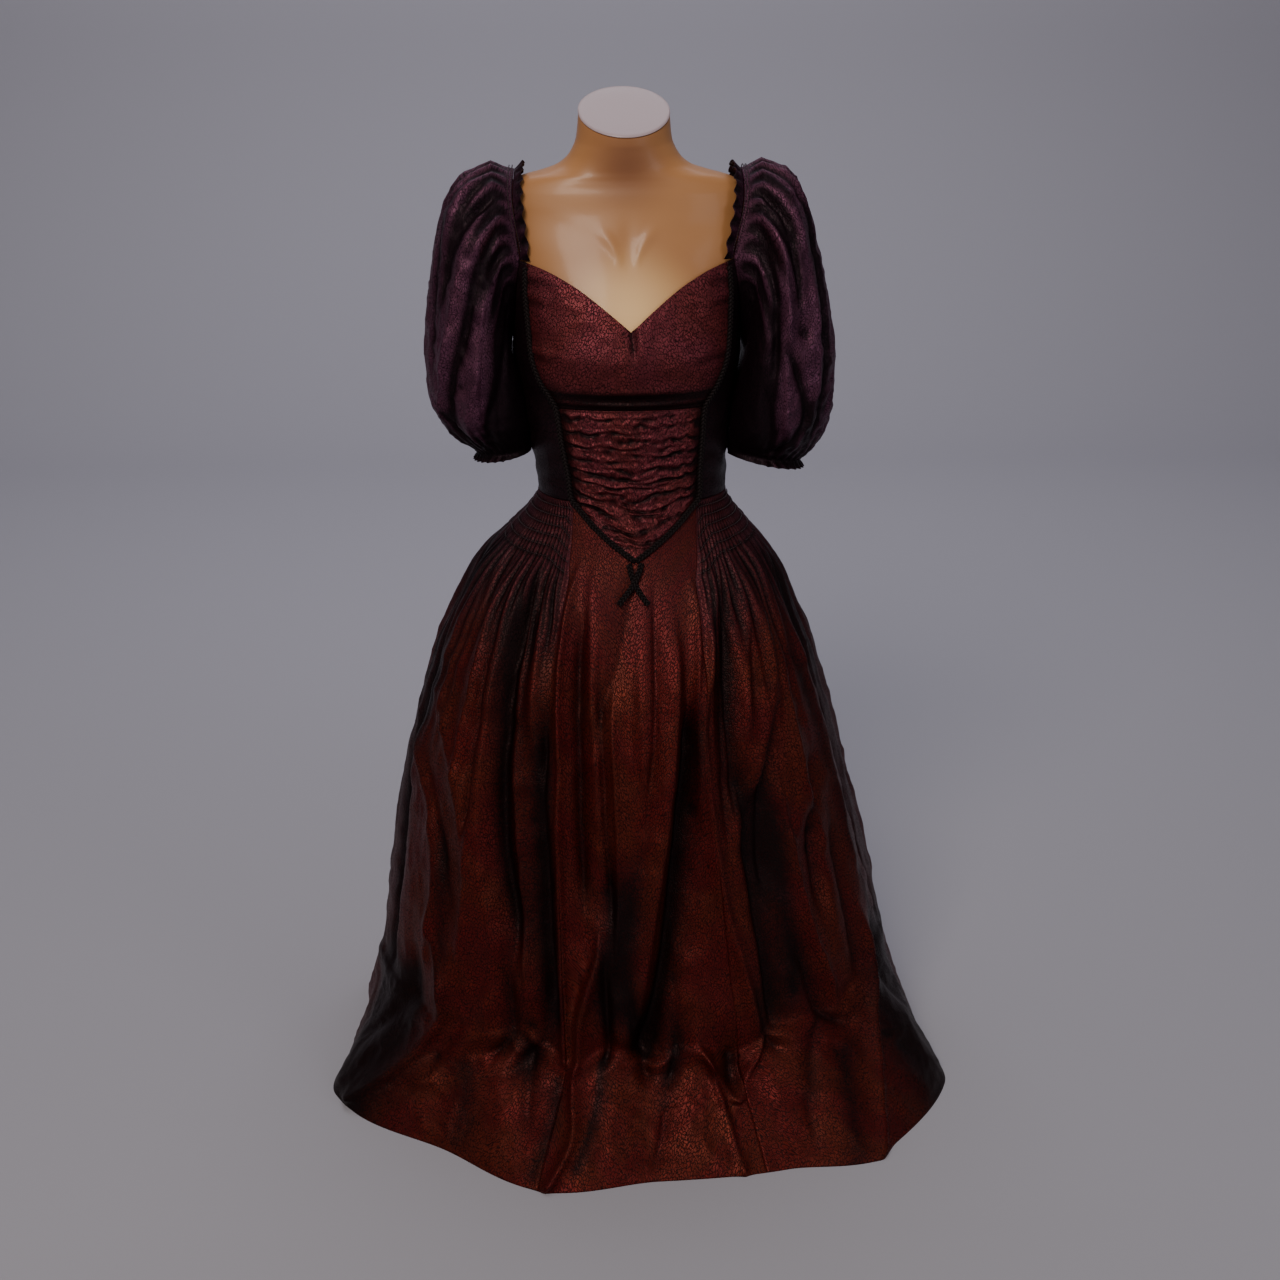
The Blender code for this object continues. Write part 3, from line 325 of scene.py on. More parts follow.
def crinkledTaffeta(name, colours):
    # Shot taffeta with a crushed crackle finish: red weft over black warp, so that ridges glow;
    # the hollows go black by painted shade, read from the piece's attributes
    look = taffetaLook
    material, tree, shader = newFinish(name)
    cloth = addNode(tree, "ShaderNodeUVMap", {"uv_map": "clothMetres"}).outputs["UV"]
    wander = addNoise(tree, cloth, 1 / look["wander"], 2.0, "2D")
    mottle = addNoise(tree, cloth, 1 / look["mottle"], 3.0, "2D").outputs["Fac"]
    drift = addNoise(tree, cloth, 1 / look["drift"], 2.0, "2D").outputs["Fac"]
    # dark lines between crushed cells, bent by the noise and longer down the cloth
    centred = addVectorMath(tree, "SUBTRACT", wander.outputs["Color"], (0.5, 0.5, 0.5))
    pushed = addVectorMath(tree, "SCALE", centred, look["crackleWarp"] * 2)
    bent = addVectorMath(tree, "ADD", cloth, pushed)
    long = addVectorMath(tree, "MULTIPLY", bent, (1.0, look["crackleStretch"], 1.0))
    crackle = addNode(tree, "ShaderNodeTexVoronoi",
                      {"voronoi_dimensions": "2D", "feature": "DISTANCE_TO_EDGE"},
                      {"Vector": long, "Scale": 1 / look["crackleCell"]})
    width = addRange(tree, mottle, 0.3, 0.7, look["crackleLine"] * 0.55, look["crackleLine"] * 1.35)
    line = addMath(tree, "DIVIDE", crackle.outputs["Distance"], width, clamp=True)
    colour = mixColours(tree, line, colours[1], colours[0])
    toned = addNode(tree, "ShaderNodeHueSaturation", None,
                    {"Color": colour, "Value": addRange(tree, mottle, 0.3, 0.7, 0.72, 1.18),
                     "Hue": addRange(tree, drift, 0.35, 0.65, 0.494, 0.504)})
    # painted shade: dull wine on the hips and under the waist, and black where a point lies deep between
    # folds or in a fold's shade, with a broken edge
    wineShadeLevel = addNode(tree, "ShaderNodeAttribute", {"attribute_name": "wine"}).outputs["Fac"]
    cool = mixColours(tree, wineShadeLevel, toned.outputs["Color"], look["wineShadeTone"])
    paintedShadeLevel = addNode(tree, "ShaderNodeAttribute", {"attribute_name": "paintedShade"}).outputs["Fac"]
    broken = addMath(tree, "MULTIPLY_ADD", wander.outputs["Fac"], 0.24, paintedShadeLevel)
    fall = addRange(tree, broken, 0.20, 0.95, 0.0, look["shadeStrength"], "SMOOTHSTEP")
    tree.links.new(mixColours(tree, fall, cool, look["shadeTone"]), shader.inputs["Base Color"])
    thread = addNode(tree, "ShaderNodeTexWave", {"wave_type": "BANDS", "bands_direction": "Y"},
                     {"Vector": cloth, "Scale": 1 / (math.pi * look["weaveThread"]),
                      "Distortion": 1.5, "Detail": 1.0})
    addBump(tree, shader, addMath(tree, "MULTIPLY_ADD", thread.outputs["Fac"], 0.12, line), 0.42, 0.0006)
    tree.links.new(addRange(tree, line, 0.0, 1.0, 0.58, 0.43), shader.inputs["Roughness"])
    setShader(shader, {"Metallic": 0.55, "Specular IOR Level": 0.22, "Sheen Weight": 0.05,
                       "Sheen Roughness": 0.4, "Sheen Tint": hexColour(colours[0])})
    return material


def gimpBraid(name):
    # Gimp braid: viscose strands twisted tight, dull black with wine lights
    material, tree, shader = newFinish(name)
    place = addNode(tree, "ShaderNodeTexCoord").outputs["Object"]
    fleck = addNoise(tree, place, 700.0, 1.0).outputs["Fac"]
    tree.links.new(mixColours(tree, fleck, "#050303", "#1d0e0e"), shader.inputs["Base Color"])
    addBump(tree, shader, fleck, 0.4, 0.0004)
    setShader(shader, {"Roughness": 0.72, "Specular IOR Level": 0.25})
    return material


def sewingThread(name):
    # Polyester sewing thread: dark, slightly shiny
    material, tree, shader = newFinish(name)
    place = addNode(tree, "ShaderNodeTexCoord").outputs["Object"]
    ply = addNoise(tree, place, 900.0, 2.0).outputs["Fac"]
    tree.links.new(mixColours(tree, ply, "#1a0d10", "#40242a"), shader.inputs["Base Color"])
    setShader(shader, {"Roughness": 0.5})
    return material


def mouldedPlastic(name, colours, roughness, coat, paintedLight=()):
    # Rotomoulded plastic shell: even satin skin with faint flow mottling, with painted highlight and painted
    # shade laid on in given spots
    material, tree, shader = newFinish(name)
    place = addNode(tree, "ShaderNodeTexCoord").outputs["Object"]
    skin = mixColours(tree, addNoise(tree, place, 9.0, 3.0).outputs["Fac"], *colours)
    for tint, centre, reach in paintedLight:
        away = addVectorMath(tree, "DISTANCE", place, centre)
        skin = mixColours(tree, addRange(tree, away, 0.0, reach, 1.0, 0.0, "SMOOTHSTEP"), skin, tint)
    tree.links.new(skin, shader.inputs["Base Color"])
    addBump(tree, shader, addNoise(tree, place, 160.0, 2.0).outputs["Fac"], 0.05, 0.001)
    setShader(shader, {"Roughness": roughness, "IOR": 1.5, "Coat Weight": coat, "Coat Roughness": 0.12})
    return material


def paintedSteel(name):
    # Powder-coated steel: satin grey with a fine orange-peel surface
    material, tree, shader = newFinish(name)
    place = addNode(tree, "ShaderNodeTexCoord").outputs["Object"]
    peel = addNoise(tree, place, 450.0, 2.0).outputs["Fac"]
    tree.links.new(mixColours(tree, peel, "#4c4c4e", "#5c5c5f"), shader.inputs["Base Color"])
    addBump(tree, shader, peel, 0.15, 0.0004)
    setShader(shader, {"Roughness": 0.42})
    return material


copperTaffeta = crinkledTaffeta("shotTaffetaCopper", taffetaLook["skirt"])
wineTaffeta = crinkledTaffeta("shotTaffetaWine", taffetaLook["bodice"])
darkTaffeta = crinkledTaffeta("shotTaffetaDark", taffetaLook["side"])
plumTaffeta = crinkledTaffeta("shotTaffetaPlum", taffetaLook["sleeve"])
braidFinish = gimpBraid("twistedGimpBraid")
darkThread = sewingThread("darkSewingThread")
# painted highlight on the chest, where the light falls, and painted shade on the front of the neck
tanPlastic = mouldedPlastic("mouldedTanPlastic", ("#b47c4a", "#be8754"), 0.44, 0.12,
                            [("#ffd08e", (0.0, -0.115, 1.025), 0.110),
                             ("#8c5a38", (-0.004, -0.060, 1.205), 0.075)])
palePlastic = mouldedPlastic("mouldedPaleCap", ("#b39fa2", "#bba8aa"), 0.45, 0.1)
greySteel = paintedSteel("powderCoatedSteel")
print("stage 2: finishes made")


# skirt

skirtLook = {
    "wall": 0.0014,
    "breakSoftness": 0.005,       # how far the bend is rounded, all round and more in front
    "frontSoftness": 0.020,
    "breakSpread": 0.20,
    "rows": 184,
    "rowsShirred": 46,
    "shirredDrop": 0.14,          # drop down to which the rows lie close together
    "gatherHeight": 0.0030,
    "releaseHeight": 0.0050,
    "threadDrops": [0.012 + 0.0165 * k for k in range(6)],
    # name, seams on its two sides, columns, gathers
    "panels": [
        ("skirtCentreFront", "right", "left", 112, 0),
        ("skirtSideFrontLeft", "left", "leftSide", 154, 24),
        ("skirtSideFrontRight", "rightSide", "right", 154, 24),
        ("skirtBackLeft", "leftSide", "leftBack", 102, 22),
        ("skirtBackRight", "rightBack", "rightSide", 102, 22),
    ],
    # drop, right seam angle, left seam angle of the centre front
    "seams": [(0.00, -45.5, 45.5), (0.05, -36.0, 34.5), (0.10, -30.5, 28.5), (0.18, -27.0, 26.0),
              (0.42, -20.5, 22.0), (1.00, -18.0, 20.5), (2.00, -17.0, 20.0)],
    # drop is 0 at the waist seam, 1 at the bend and 2 on the floor. Each fold has a path of (angle, drop),
    # its width on the right-hand and left-hand side in the picture, its height and the roundness of its tip
    "folds": [
        ([(-47.4, 0.14), (-43.8, 0.41), (-41.0, 0.60), (-33.8, 0.86)], 0.045, 0.010, 0.014, 0.35),
        ([(-45.0, 0.18), (-40.2, 0.42), (-37.6, 0.58), (-31.0, 0.82)], 0.010, 0.026, -0.020, 0.4),
        ([(-66.0, 0.38), (-49.6, 0.53), (-43.3, 0.70), (-44.1, 0.88)], 0.018, 0.022, 0.010, 0.3),
        ([(-74.0, 0.50), (-60.0, 0.60), (-54.0, 0.76), (-55.0, 0.90)], 0.016, 0.016, 0.008, 0.3),
        ([(-66.0, 0.52), (-56.0, 0.62), (-49.0, 0.76)], 0.012, 0.012, -0.007, 0.4),
        ([(-36.5, 0.12), (-28.8, 0.42), (-24.4, 0.54)], 0.012, 0.020, 0.008, 0.3),
        ([(-30.0, 0.14), (-25.0, 0.36), (-23.0, 0.44)], 0.008, 0.012, -0.006, 0.4),
        ([(-26.5, 0.38), (-23.9, 0.66), (-20.6, 0.94)], 0.026, 0.007, -0.016, 0.4),
        ([(-27.5, 0.12), (-20.4, 0.47), (-19.5, 0.75), (-18.5, 1.06)], 0.009, 0.009, 0.014, 0.25),
        ([(-20.0, 0.18), (-15.6, 0.45), (-14.0, 0.70)], 0.008, 0.016, -0.014, 0.4),
        ([(-19.1, 0.07), (-12.1, 0.30), (-8.0, 0.62)], 0.012, 0.030, 0.007, 0.4),
        ([(-1.2, 0.06), (-5.0, 0.20), (-10.8, 0.34)], 0.012, 0.016, -0.006, 0.4),
        ([(3.0, 0.20), (3.6, 0.45)], 0.010, 0.020, 0.005, 0.4),
        ([(16.4, 0.20), (9.0, 0.55), (1.4, 0.79), (-4.3, 1.00)], 0.045, 0.009, 0.016, 0.3),
        ([(18.6, 0.32), (14.6, 0.48), (6.6, 0.77), (-3.3, 1.01)], 0.009, 0.030, -0.022, 0.4),
        ([(35.0, 0.10), (22.3, 0.39), (21.9, 0.62), (26.2, 1.02)], 0.013, 0.012, 0.013, 0.25),
        ([(33.5, 0.22), (27.4, 0.48), (26.0, 0.60)], 0.010, 0.016, -0.010, 0.4),
        ([(32.7, 0.50), (31.0, 0.75), (30.0, 1.01)], 0.010, 0.032, -0.018, 0.4),
        ([(54.0, 0.14), (45.5, 0.38), (39.3, 0.47), (29.0, 0.60)], 0.020, 0.011, 0.012, 0.3),
        ([(43.5, 0.42), (38.0, 0.56), (35.0, 0.74)], 0.010, 0.022, -0.013, 0.4),
        ([(52.5, 0.26), (51.6, 0.50), (55.6, 0.68)], 0.013, 0.013, 0.011, 0.3),
        ([(58.5, 0.54), (52.0, 0.68), (48.8, 0.82)], 0.014, 0.020, -0.013, 0.4),
        ([(61.0, 0.70), (58.0, 0.84), (55.9, 0.99)], 0.014, 0.020, -0.013, 0.4),
        ([(64.0, 0.16), (68.0, 0.50), (66.0, 0.82)], 0.016, 0.016, 0.007, 0.3),
        ([(74.0, 0.20), (78.0, 0.55), (77.0, 0.96)], 0.014, 0.024, -0.014, 0.4),
        ([(86.0, 0.16), (88.0, 0.55), (89.0, 1.00)], 0.022, 0.022, 0.004, 0.3),
        ([(-56.0, 0.16), (-52.0, 0.34), (-51.0, 0.50)], 0.006, 0.012, 0.008, 0.25),
        ([(-50.5, 0.20), (-46.5, 0.40), (-45.0, 0.62)], 0.009, 0.006, -0.010, 0.3),
        ([(-35.0, 0.44), (-31.0, 0.66), (-27.5, 0.92)], 0.006, 0.012, 0.009, 0.25),
        ([(-11.0, 0.24), (-8.0, 0.46), (-6.5, 0.72)], 0.008, 0.010, -0.008, 0.3),
        ([(-6.0, 0.30), (-4.4, 0.56), (-6.0, 0.80)], 0.006, 0.010, 0.007, 0.25),
        ([(9.0, 0.12), (7.5, 0.30), (3.5, 0.52)], 0.006, 0.012, -0.007, 0.3),
        ([(26.5, 0.14), (21.5, 0.30), (19.5, 0.50)], 0.010, 0.007, 0.009, 0.25),
        ([(39.0, 0.16), (32.0, 0.36), (29.5, 0.56)], 0.007, 0.012, -0.009, 0.3),
        ([(46.0, 0.18), (38.0, 0.34), (34.0, 0.44)], 0.010, 0.007, 0.008, 0.25),
        ([(44.0, 0.58), (43.5, 0.78), (46.5, 0.98)], 0.012, 0.007, 0.010, 0.25),
        ([(-72.0, 0.18), (-74.0, 0.40), (-72.0, 0.62)], 0.030, 0.018, 0.008, 0.4),
        ([(-78.0, 0.30), (-77.0, 0.60), (-73.0, 0.98)], 0.020, 0.020, -0.014, 0.4),
        ([(-86.0, 0.16), (-87.0, 0.55), (-88.0, 1.00)], 0.022, 0.022, 0.004, 0.3),
        ([(-99.0, 0.18), (-98.0, 0.60), (-97.0, 0.98)], 0.020, 0.026, -0.018, 0.4),
        ([(-112.0, 0.14), (-112.0, 0.60), (-113.0, 1.02)], 0.022, 0.022, 0.016, 0.3),
        ([(-126.0, 0.20), (-126.0, 0.60), (-125.0, 0.96)], 0.022, 0.026, -0.020, 0.4),
        ([(-139.0, 0.14), (-140.0, 0.60), (-142.0, 1.04)], 0.022, 0.022, 0.015, 0.3),
        ([(-154.0, 0.18), (-155.0, 0.60), (-155.0, 0.98)], 0.020, 0.026, -0.018, 0.4),
        ([(-168.0, 0.14), (-168.0, 0.60), (-167.0, 1.00)], 0.022, 0.022, 0.014, 0.3),
        ([(98.0, 0.18), (98.0, 0.60), (99.0, 1.00)], 0.020, 0.026, 0.015, 0.3),
        ([(111.0, 0.20), (110.0, 0.60), (109.0, 0.96)], 0.022, 0.024, -0.019, 0.4),
        ([(124.0, 0.14), (125.0, 0.60), (127.0, 1.04)], 0.022, 0.022, 0.016, 0.3),
        ([(138.0, 0.18), (139.0, 0.60), (141.0, 0.98)], 0.020, 0.026, -0.020, 0.4),
        ([(153.0, 0.14), (153.0, 0.60), (152.0, 1.02)], 0.022, 0.022, 0.015, 0.3),
        ([(167.0, 0.18), (166.0, 0.60), (165.0, 0.97)], 0.020, 0.024, -0.016, 0.4),
    ],
    # the same, for the stiff band that spreads over the floor
    "hemFolds": [
        ([(-46.5, 0.90), (-50.0, 1.35), (-58.0, 1.95)], 0.030, 0.012, 0.017, 0.3),
        ([(-54.0, 0.84), (-48.0, 0.91), (-46.0, 0.98)], 0.012, 0.010, 0.010, 0.3),
        ([(-60.0, 0.92), (-62.0, 1.20), (-68.0, 1.60)], 0.024, 0.026, -0.013, 0.5),
        ([(-10.2, 0.80), (-15.0, 0.94), (-15.7, 1.16), (-13.3, 1.60), (-15.8, 1.97)],
         0.010, 0.013, 0.021, 0.25),
        ([(-9.2, 0.84), (-9.0, 1.00), (-9.4, 1.16)], 0.007, 0.010, -0.012, 0.4),
        ([(-23.0, 0.92), (-25.0, 1.10), (-29.0, 1.40)], 0.014, 0.024, -0.012, 0.5),
        ([(-28.1, 1.05), (-25.0, 1.35), (-22.3, 1.64)], 0.014, 0.014, -0.009, 0.5),
        ([(-35.0, 0.90), (-40.0, 1.15), (-46.0, 1.60)], 0.030, 0.020, 0.008, 0.4),
        ([(7.0, 0.94), (6.0, 1.10), (5.0, 1.30)], 0.010, 0.014, -0.009, 0.5),
        ([(3.8, 1.50), (2.8, 1.68), (1.6, 1.90)], 0.009, 0.016, -0.009, 0.4),
        ([(13.1, 1.06), (15.6, 1.60), (16.3, 1.98)], 0.010, 0.008, 0.012, 0.3),
        ([(16.2, 1.44), (16.4, 1.70), (16.0, 1.92)], 0.012, 0.010, -0.006, 0.4),
        ([(11.4, 1.00), (14.5, 1.18), (18.0, 1.42)], 0.012, 0.008, 0.010, 0.3),
        ([(27.0, 1.02), (22.5, 1.20), (18.4, 1.44)], 0.008, 0.012, 0.010, 0.3),
        ([(18.5, 1.00), (18.8, 1.16), (18.0, 1.36)], 0.016, 0.016, -0.016, 0.5),
        ([(40.7, 1.06), (36.0, 1.30), (31.6, 1.60)], 0.020, 0.012, -0.010, 0.5),
        ([(31.2, 1.58), (29.8, 1.74), (28.9, 1.90)], 0.010, 0.012, -0.007, 0.4),
        ([(62.3, 0.94), (48.3, 1.49), (37.3, 1.98)], 0.018, 0.012, 0.015, 0.3),
        ([(68.0, 0.96), (66.0, 1.20), (68.0, 1.50)], 0.020, 0.026, -0.012, 0.5),
        ([(-33.0, 0.86), (-31.5, 1.04), (-34.0, 1.26)], 0.012, 0.018, -0.014, 0.4),
        ([(-3.5, 0.88), (-1.5, 1.06), (-0.5, 1.24)], 0.012, 0.016, -0.012, 0.4),
        ([(27.0, 0.90), (27.5, 1.05), (29.5, 1.22)], 0.016, 0.014, -0.013, 0.4),
        ([(40.0, 0.86), (42.0, 1.02), (46.0, 1.20)], 0.014, 0.020, -0.012, 0.4),
        ([(-84.0, 1.00), (-88.0, 1.40), (-92.0, 1.80)], 0.036, 0.036, 0.010, 0.5),
        ([(100.0, 1.00), (96.0, 1.40), (92.0, 1.80)], 0.036, 0.036, 0.010, 0.5),
        ([(-140.0, 1.02), (-136.0, 1.40), (-132.0, 1.86)], 0.034, 0.024, 0.013, 0.4),
        ([(126.0, 1.02), (130.0, 1.40), (134.0, 1.86)], 0.024, 0.034, 0.013, 0.4),
        ([(-156.0, 1.00), (-158.0, 1.20), (-160.0, 1.46)], 0.030, 0.030, -0.014, 0.5),
        ([(166.0, 1.00), (164.0, 1.20), (162.0, 1.46)], 0.030, 0.030, -0.014, 0.5),
    ],
    # the same for dark places that lie in the shade of a fold, with how dark in place of a height
    "shades": [
        ([(-70.0, 0.34), (-76.0, 0.55), (-72.0, 0.96)], 0.034, 0.022, 0.50, 0.5),
        ([(2.0, 0.56), (-4.0, 0.72), (-9.0, 0.94)], 0.026, 0.020, 0.50, 0.5),
        ([(62.0, 0.34), (66.0, 0.60), (68.0, 0.98)], 0.016, 0.030, 0.45, 0.5),
        ([(84.0, 0.14), (88.0, 0.60), (88.0, 1.10)], 0.046, 0.046, 0.45, 0.6),
        ([(-88.0, 0.10), (-90.0, 0.60), (-90.0, 1.20)], 0.046, 0.046, 0.45, 0.6),
        ([(-68.0, 0.98), (-64.0, 1.40), (-62.0, 2.20)], 0.080, 0.080, 1.10, 0.9),
        ([(72.0, 1.00), (66.0, 1.40), (62.0, 2.20)], 0.080, 0.080, 1.10, 0.9),
        ([(-54.0, 0.62), (-51.0, 0.80), (-47.0, 0.97)], 0.016, 0.020, 0.50, 0.5),
        ([(41.0, 0.58), (39.0, 0.76), (36.0, 0.97)], 0.018, 0.020, 0.50, 0.5),
        ([(-1.0, 0.66), (-4.0, 0.80), (-5.0, 0.97)], 0.040, 0.026, 0.40, 0.7),
        ([(-24.0, 0.44), (-22.0, 0.66), (-20.5, 0.92)], 0.020, 0.012, 0.50, 0.5),
        ([(6.5, 0.98), (4.5, 1.24), (3.0, 1.50)], 0.020, 0.022, 0.45, 0.5),
        ([(-10.5, 1.10), (-10.0, 1.40), (-12.0, 1.90)], 0.008, 0.018, 0.65, 0.4),
        ([(-19.0, 1.20), (-17.6, 1.60), (-18.4, 1.98)], 0.018, 0.010, 0.60, 0.4),
        ([(44.0, 1.30), (38.0, 1.60), (33.0, 2.05)], 0.022, 0.022, 0.50, 0.5),
        ([(-40.0, 1.30), (-36.0, 1.60), (-34.0, 1.96)], 0.020, 0.024, 0.45, 0.5),
    ],
    "fullShadeDepth": 0.025,              # metres of depth at which a hollow's painted shade is full
    "crumple": [(0.020, 0.0012), (0.055, 0.0030)],   # size and depth of the crush between folds
}


def foldLift(fold, angle, drop, radius):
    path, right, left, height, roundness = fold
    angles, drops = columnsOf(path)
    centre = curveThrough(drop, drops, angles)
    away = np.radians(angle - centre) * radius
    away = away / np.where(away < 0, right, left)
    tip = np.sqrt(away ** 2 + roundness ** 2) - roundness
    fadeIn = ramp(drop, drops[0] - 0.09, drops[0] + 0.07)
    fadeOut = 1 - ramp(drop, drops[-1] - 0.07, drops[-1] + 0.07)
    return height * fadeIn * fadeOut * np.exp(-tip * 1.6)


def skirtPoints(angle, drop, pucker, crush=True):
    # the plain skirt, its gathers and its folds, for arrays of angles and drops, and the painted shade in its
    # hollows and in the shade of its folds
    seam = waistSeamHeight(angle)
    breakHeight = curvesOf(gownForm["breakHeight"], angle)[0]
    share = np.clip(drop - 1, 0, 1)
    height = np.where(drop <= 1, seam + (breakHeight - seam) * np.clip(drop, 0, 1), breakHeight * (1 - share))
    centre, half, front, back = sectionAt(np.where(drop <= 1, height, breakHeight))
    radius = ringRadius(angle, half, front, back)
    hem = curvesOf(gownForm["hem"], angle)[0]
    radius = radius + (hem - radius) * share
    centre = centre * (1 - share)
    facing = np.maximum(np.cos(np.radians(angle)), 0)
    softness = skirtLook["breakSoftness"] + skirtLook["frontSoftness"] * facing
    radius = radius + softness * np.exp(-((drop - 1) / skirtLook["breakSpread"]) ** 2)
    lift = pucker.copy()
    paintedShade = np.zeros(angle.shape)
    # painted shade in each fold's valley by its depth, and more from the list of shades
    for fold in skirtLook["folds"] + skirtLook["hemFolds"]:
        rise = foldLift(fold, angle, drop, radius)
        lift += rise
        paintedShade += np.maximum(-rise, 0) / skirtLook["fullShadeDepth"]
    for shade in skirtLook["shades"]:
        paintedShade += foldLift(shade, angle, drop, radius)
    points = polarPoints(centre, angle, radius + lift, height)
    if crush:
        fade = ramp(drop, 0.10, 0.35) * (1 - ramp(drop, 1.88, 2.0))
        extra = sum(crumple(points, size, depth, 1.0 + size) for size, depth in skirtLook["crumple"])
        points = polarPoints(centre, angle, radius + lift + extra * fade, height)
        # painted shade in the crushed hollows
        paintedShade += np.clip(-extra * fade / 0.0042, 0, 0.5)
    return points, paintedShade


def seamAngles(name, drop):
    drops, right, left = columnsOf(skirtLook["seams"])
    fixed = {"rightSide": -gownForm["sideSeam"], "leftSide": gownForm["sideSeam"],
             "rightBack": -180.0, "leftBack": 180.0}
    if name in fixed:
        return np.full(drop.shape, fixed[name])
    return np.interp(drop, drops, right if name == "right" else left)


def skirtPanel(name, start, end, columns, gathers):
    top = np.linspace(0, skirtLook["shirredDrop"], skirtLook["rowsShirred"], endpoint=False)
    rest = np.linspace(skirtLook["shirredDrop"], 2.0, skirtLook["rows"] - skirtLook["rowsShirred"])
    drop = np.concatenate([top, rest])[:, None]
    across = np.linspace(0, 1, columns + 1)[None, :]
    low, high = seamAngles(start, drop[:, 0])[:, None], seamAngles(end, drop[:, 0])[:, None]
    angle = low + (high - low) * across
    drop = np.repeat(drop, columns + 1, axis=1)
    pucker = np.zeros(angle.shape)
    shirringShade = np.zeros(angle.shape)
    if gathers:
        # every small gather has its own size, and every second one opens into a soft fold
        rng = np.random.default_rng(len(name))
        wave = across * gathers
        size = np.interp(wave, np.arange(gathers + 1), rng.uniform(0.6, 1.35, gathers + 1))
        wander = 0.18 * np.sin(drop * 38 + across * 11)
        edge = ramp(across, 0, 0.06) * (1 - ramp(across, 0.94, 1))
        fine = 0.5 - 0.5 * np.cos(2 * np.pi * (wave + wander))
        fade = (0.25 + 0.75 * ramp(drop, 0, 0.10)) * (1 - ramp(drop, 0.10, 0.30))
        pucker += skirtLook["gatherHeight"] * fine * size * fade * edge
        wide = (0.5 - 0.5 * np.cos(np.pi * (wave + 0.3 * np.sin(across * 17)))) ** 1.5
        fade = ramp(drop, 0.06, 0.14) * (1 - ramp(drop, 0.16, 0.62))
        pucker += skirtLook["releaseHeight"] * wide * size * fade * edge
        # the rows of shirring thread draw the cloth in a little, with painted shade along them
        for threadDrop in skirtLook["threadDrops"]:
            row = np.exp(-((drop - threadDrop) / 0.0030) ** 2)
            pucker -= 0.0010 * edge * row
            shirringShade += 0.45 * edge * row
        # painted shade between the small gathers and between the soft folds
        shirringShade += 0.55 * (1 - fine) * edge * (1 - ramp(drop, 0.10, 0.30))
        fade = ramp(drop, 0.06, 0.14) * (1 - ramp(drop, 0.16, 0.55))
        shirringShade += 0.42 * (1 - wide / size.max()) * edge * fade
    points, paintedShade = skirtPoints(angle, drop, pucker)
    points[-1, :, 2] = 0.0
    # painted shade: the cloth turns to dull wine under the waist, more on the gathered panels, and at the
    # sides where it turns from the light
    wine = (0.60 if gathers else 0.20) * (1 - ramp(drop, 0.08, 0.30)) + 0.35 * ramp(np.abs(angle), 55, 85)
    return clothGrid(name, points, copperTaffeta, skirtLook["wall"],
                     paintedShade=paintedShade + shirringShade, wine=wine)


skirtPanels = {row[0]: skirtPanel(*row) for row in skirtLook["panels"]}
print("stage 3: skirt made")


# bodice

bodiceLook = {
    "wall": 0.0012,
    "seamGap": 0.0003,
    # ruching creases: height at the middle, rise to the right and to the left seam,
    # start and end across, size
    "creases": [
        (0.734, 0.030, 0.028, 0.00, 0.80, 0.9), (0.743, 0.026, 0.027, 0.30, 1.00, 1.0),
        (0.752, 0.026, 0.024, 0.00, 0.56, 1.1), (0.757, 0.022, 0.024, 0.44, 1.00, 0.9),
        (0.768, 0.021, 0.019, 0.00, 0.72, 1.2), (0.777, 0.016, 0.019, 0.38, 1.00, 1.0),
        (0.784, 0.017, 0.014, 0.00, 0.48, 0.9), (0.793, 0.013, 0.016, 0.20, 1.00, 1.2),
        (0.804, 0.013, 0.011, 0.00, 0.66, 1.0), (0.812, 0.009, 0.012, 0.52, 1.00, 1.1),
        (0.819, 0.010, 0.008, 0.00, 0.58, 1.2), (0.829, 0.007, 0.009, 0.30, 1.00, 1.0),
        (0.840, 0.008, 0.006, 0.00, 0.50, 0.9), (0.846, 0.005, 0.007, 0.46, 1.00, 1.1),
        (0.857, 0.005, 0.004, 0.00, 0.78, 1.0), (0.867, 0.003, 0.005, 0.36, 1.00, 0.9),
        (0.876, 0.004, 0.002, 0.00, 0.54, 0.9), (0.886, 0.001, 0.003, 0.42, 1.00, 0.8),
        (0.897, 0.001, 0.001, 0.00, 0.90, 0.7),
    ],
    "creaseWidth": 0.0030,
    "creaseDepth": 0.0022,
    "creaseRise": 0.0022,
    # slack lines from the cups towards the princess seams: height, run and size
    "dragLines": [(1.055, 0.30, 0.0016), (1.030, 0.22, 0.0012), (0.964, 0.34, 0.0014)],
}


def princessAngle(height):
    heights, angles = columnsOf(gownForm["princess"])
    return np.interp(height, heights, angles)


def necklineHeight(angle):
    around = np.abs(angle)
    corner = gownForm["cornerAngle"]
    share = np.sin(np.radians(np.minimum(around, corner))) / math.sin(math.radians(corner))
    front = gownForm["neckPoint"] + (gownForm["neckCorner"] - gownForm["neckPoint"]) * share ** 0.93
    fall = gownForm["neckCorner"] - gownForm["backNeck"]
    back = gownForm["neckCorner"] - fall * ramp(around, 180 - corner, 165)
    reach = np.clip((around - 90) / (90 - corner), -1, 1)
    arm = gownForm["neckCorner"] - (gownForm["neckCorner"] - gownForm["underarm"]) * np.sqrt(1 - reach ** 2)
    return np.where(around <= corner, front, np.where(around >= 180 - corner, back, arm))


def panelGrid(columns, rows):
    across = np.repeat(np.linspace(0, 1, columns + 1)[None, :], rows + 1, axis=0)
    up = np.repeat(np.linspace(0, 1, rows + 1)[:, None], columns + 1, axis=1)
    return across, up


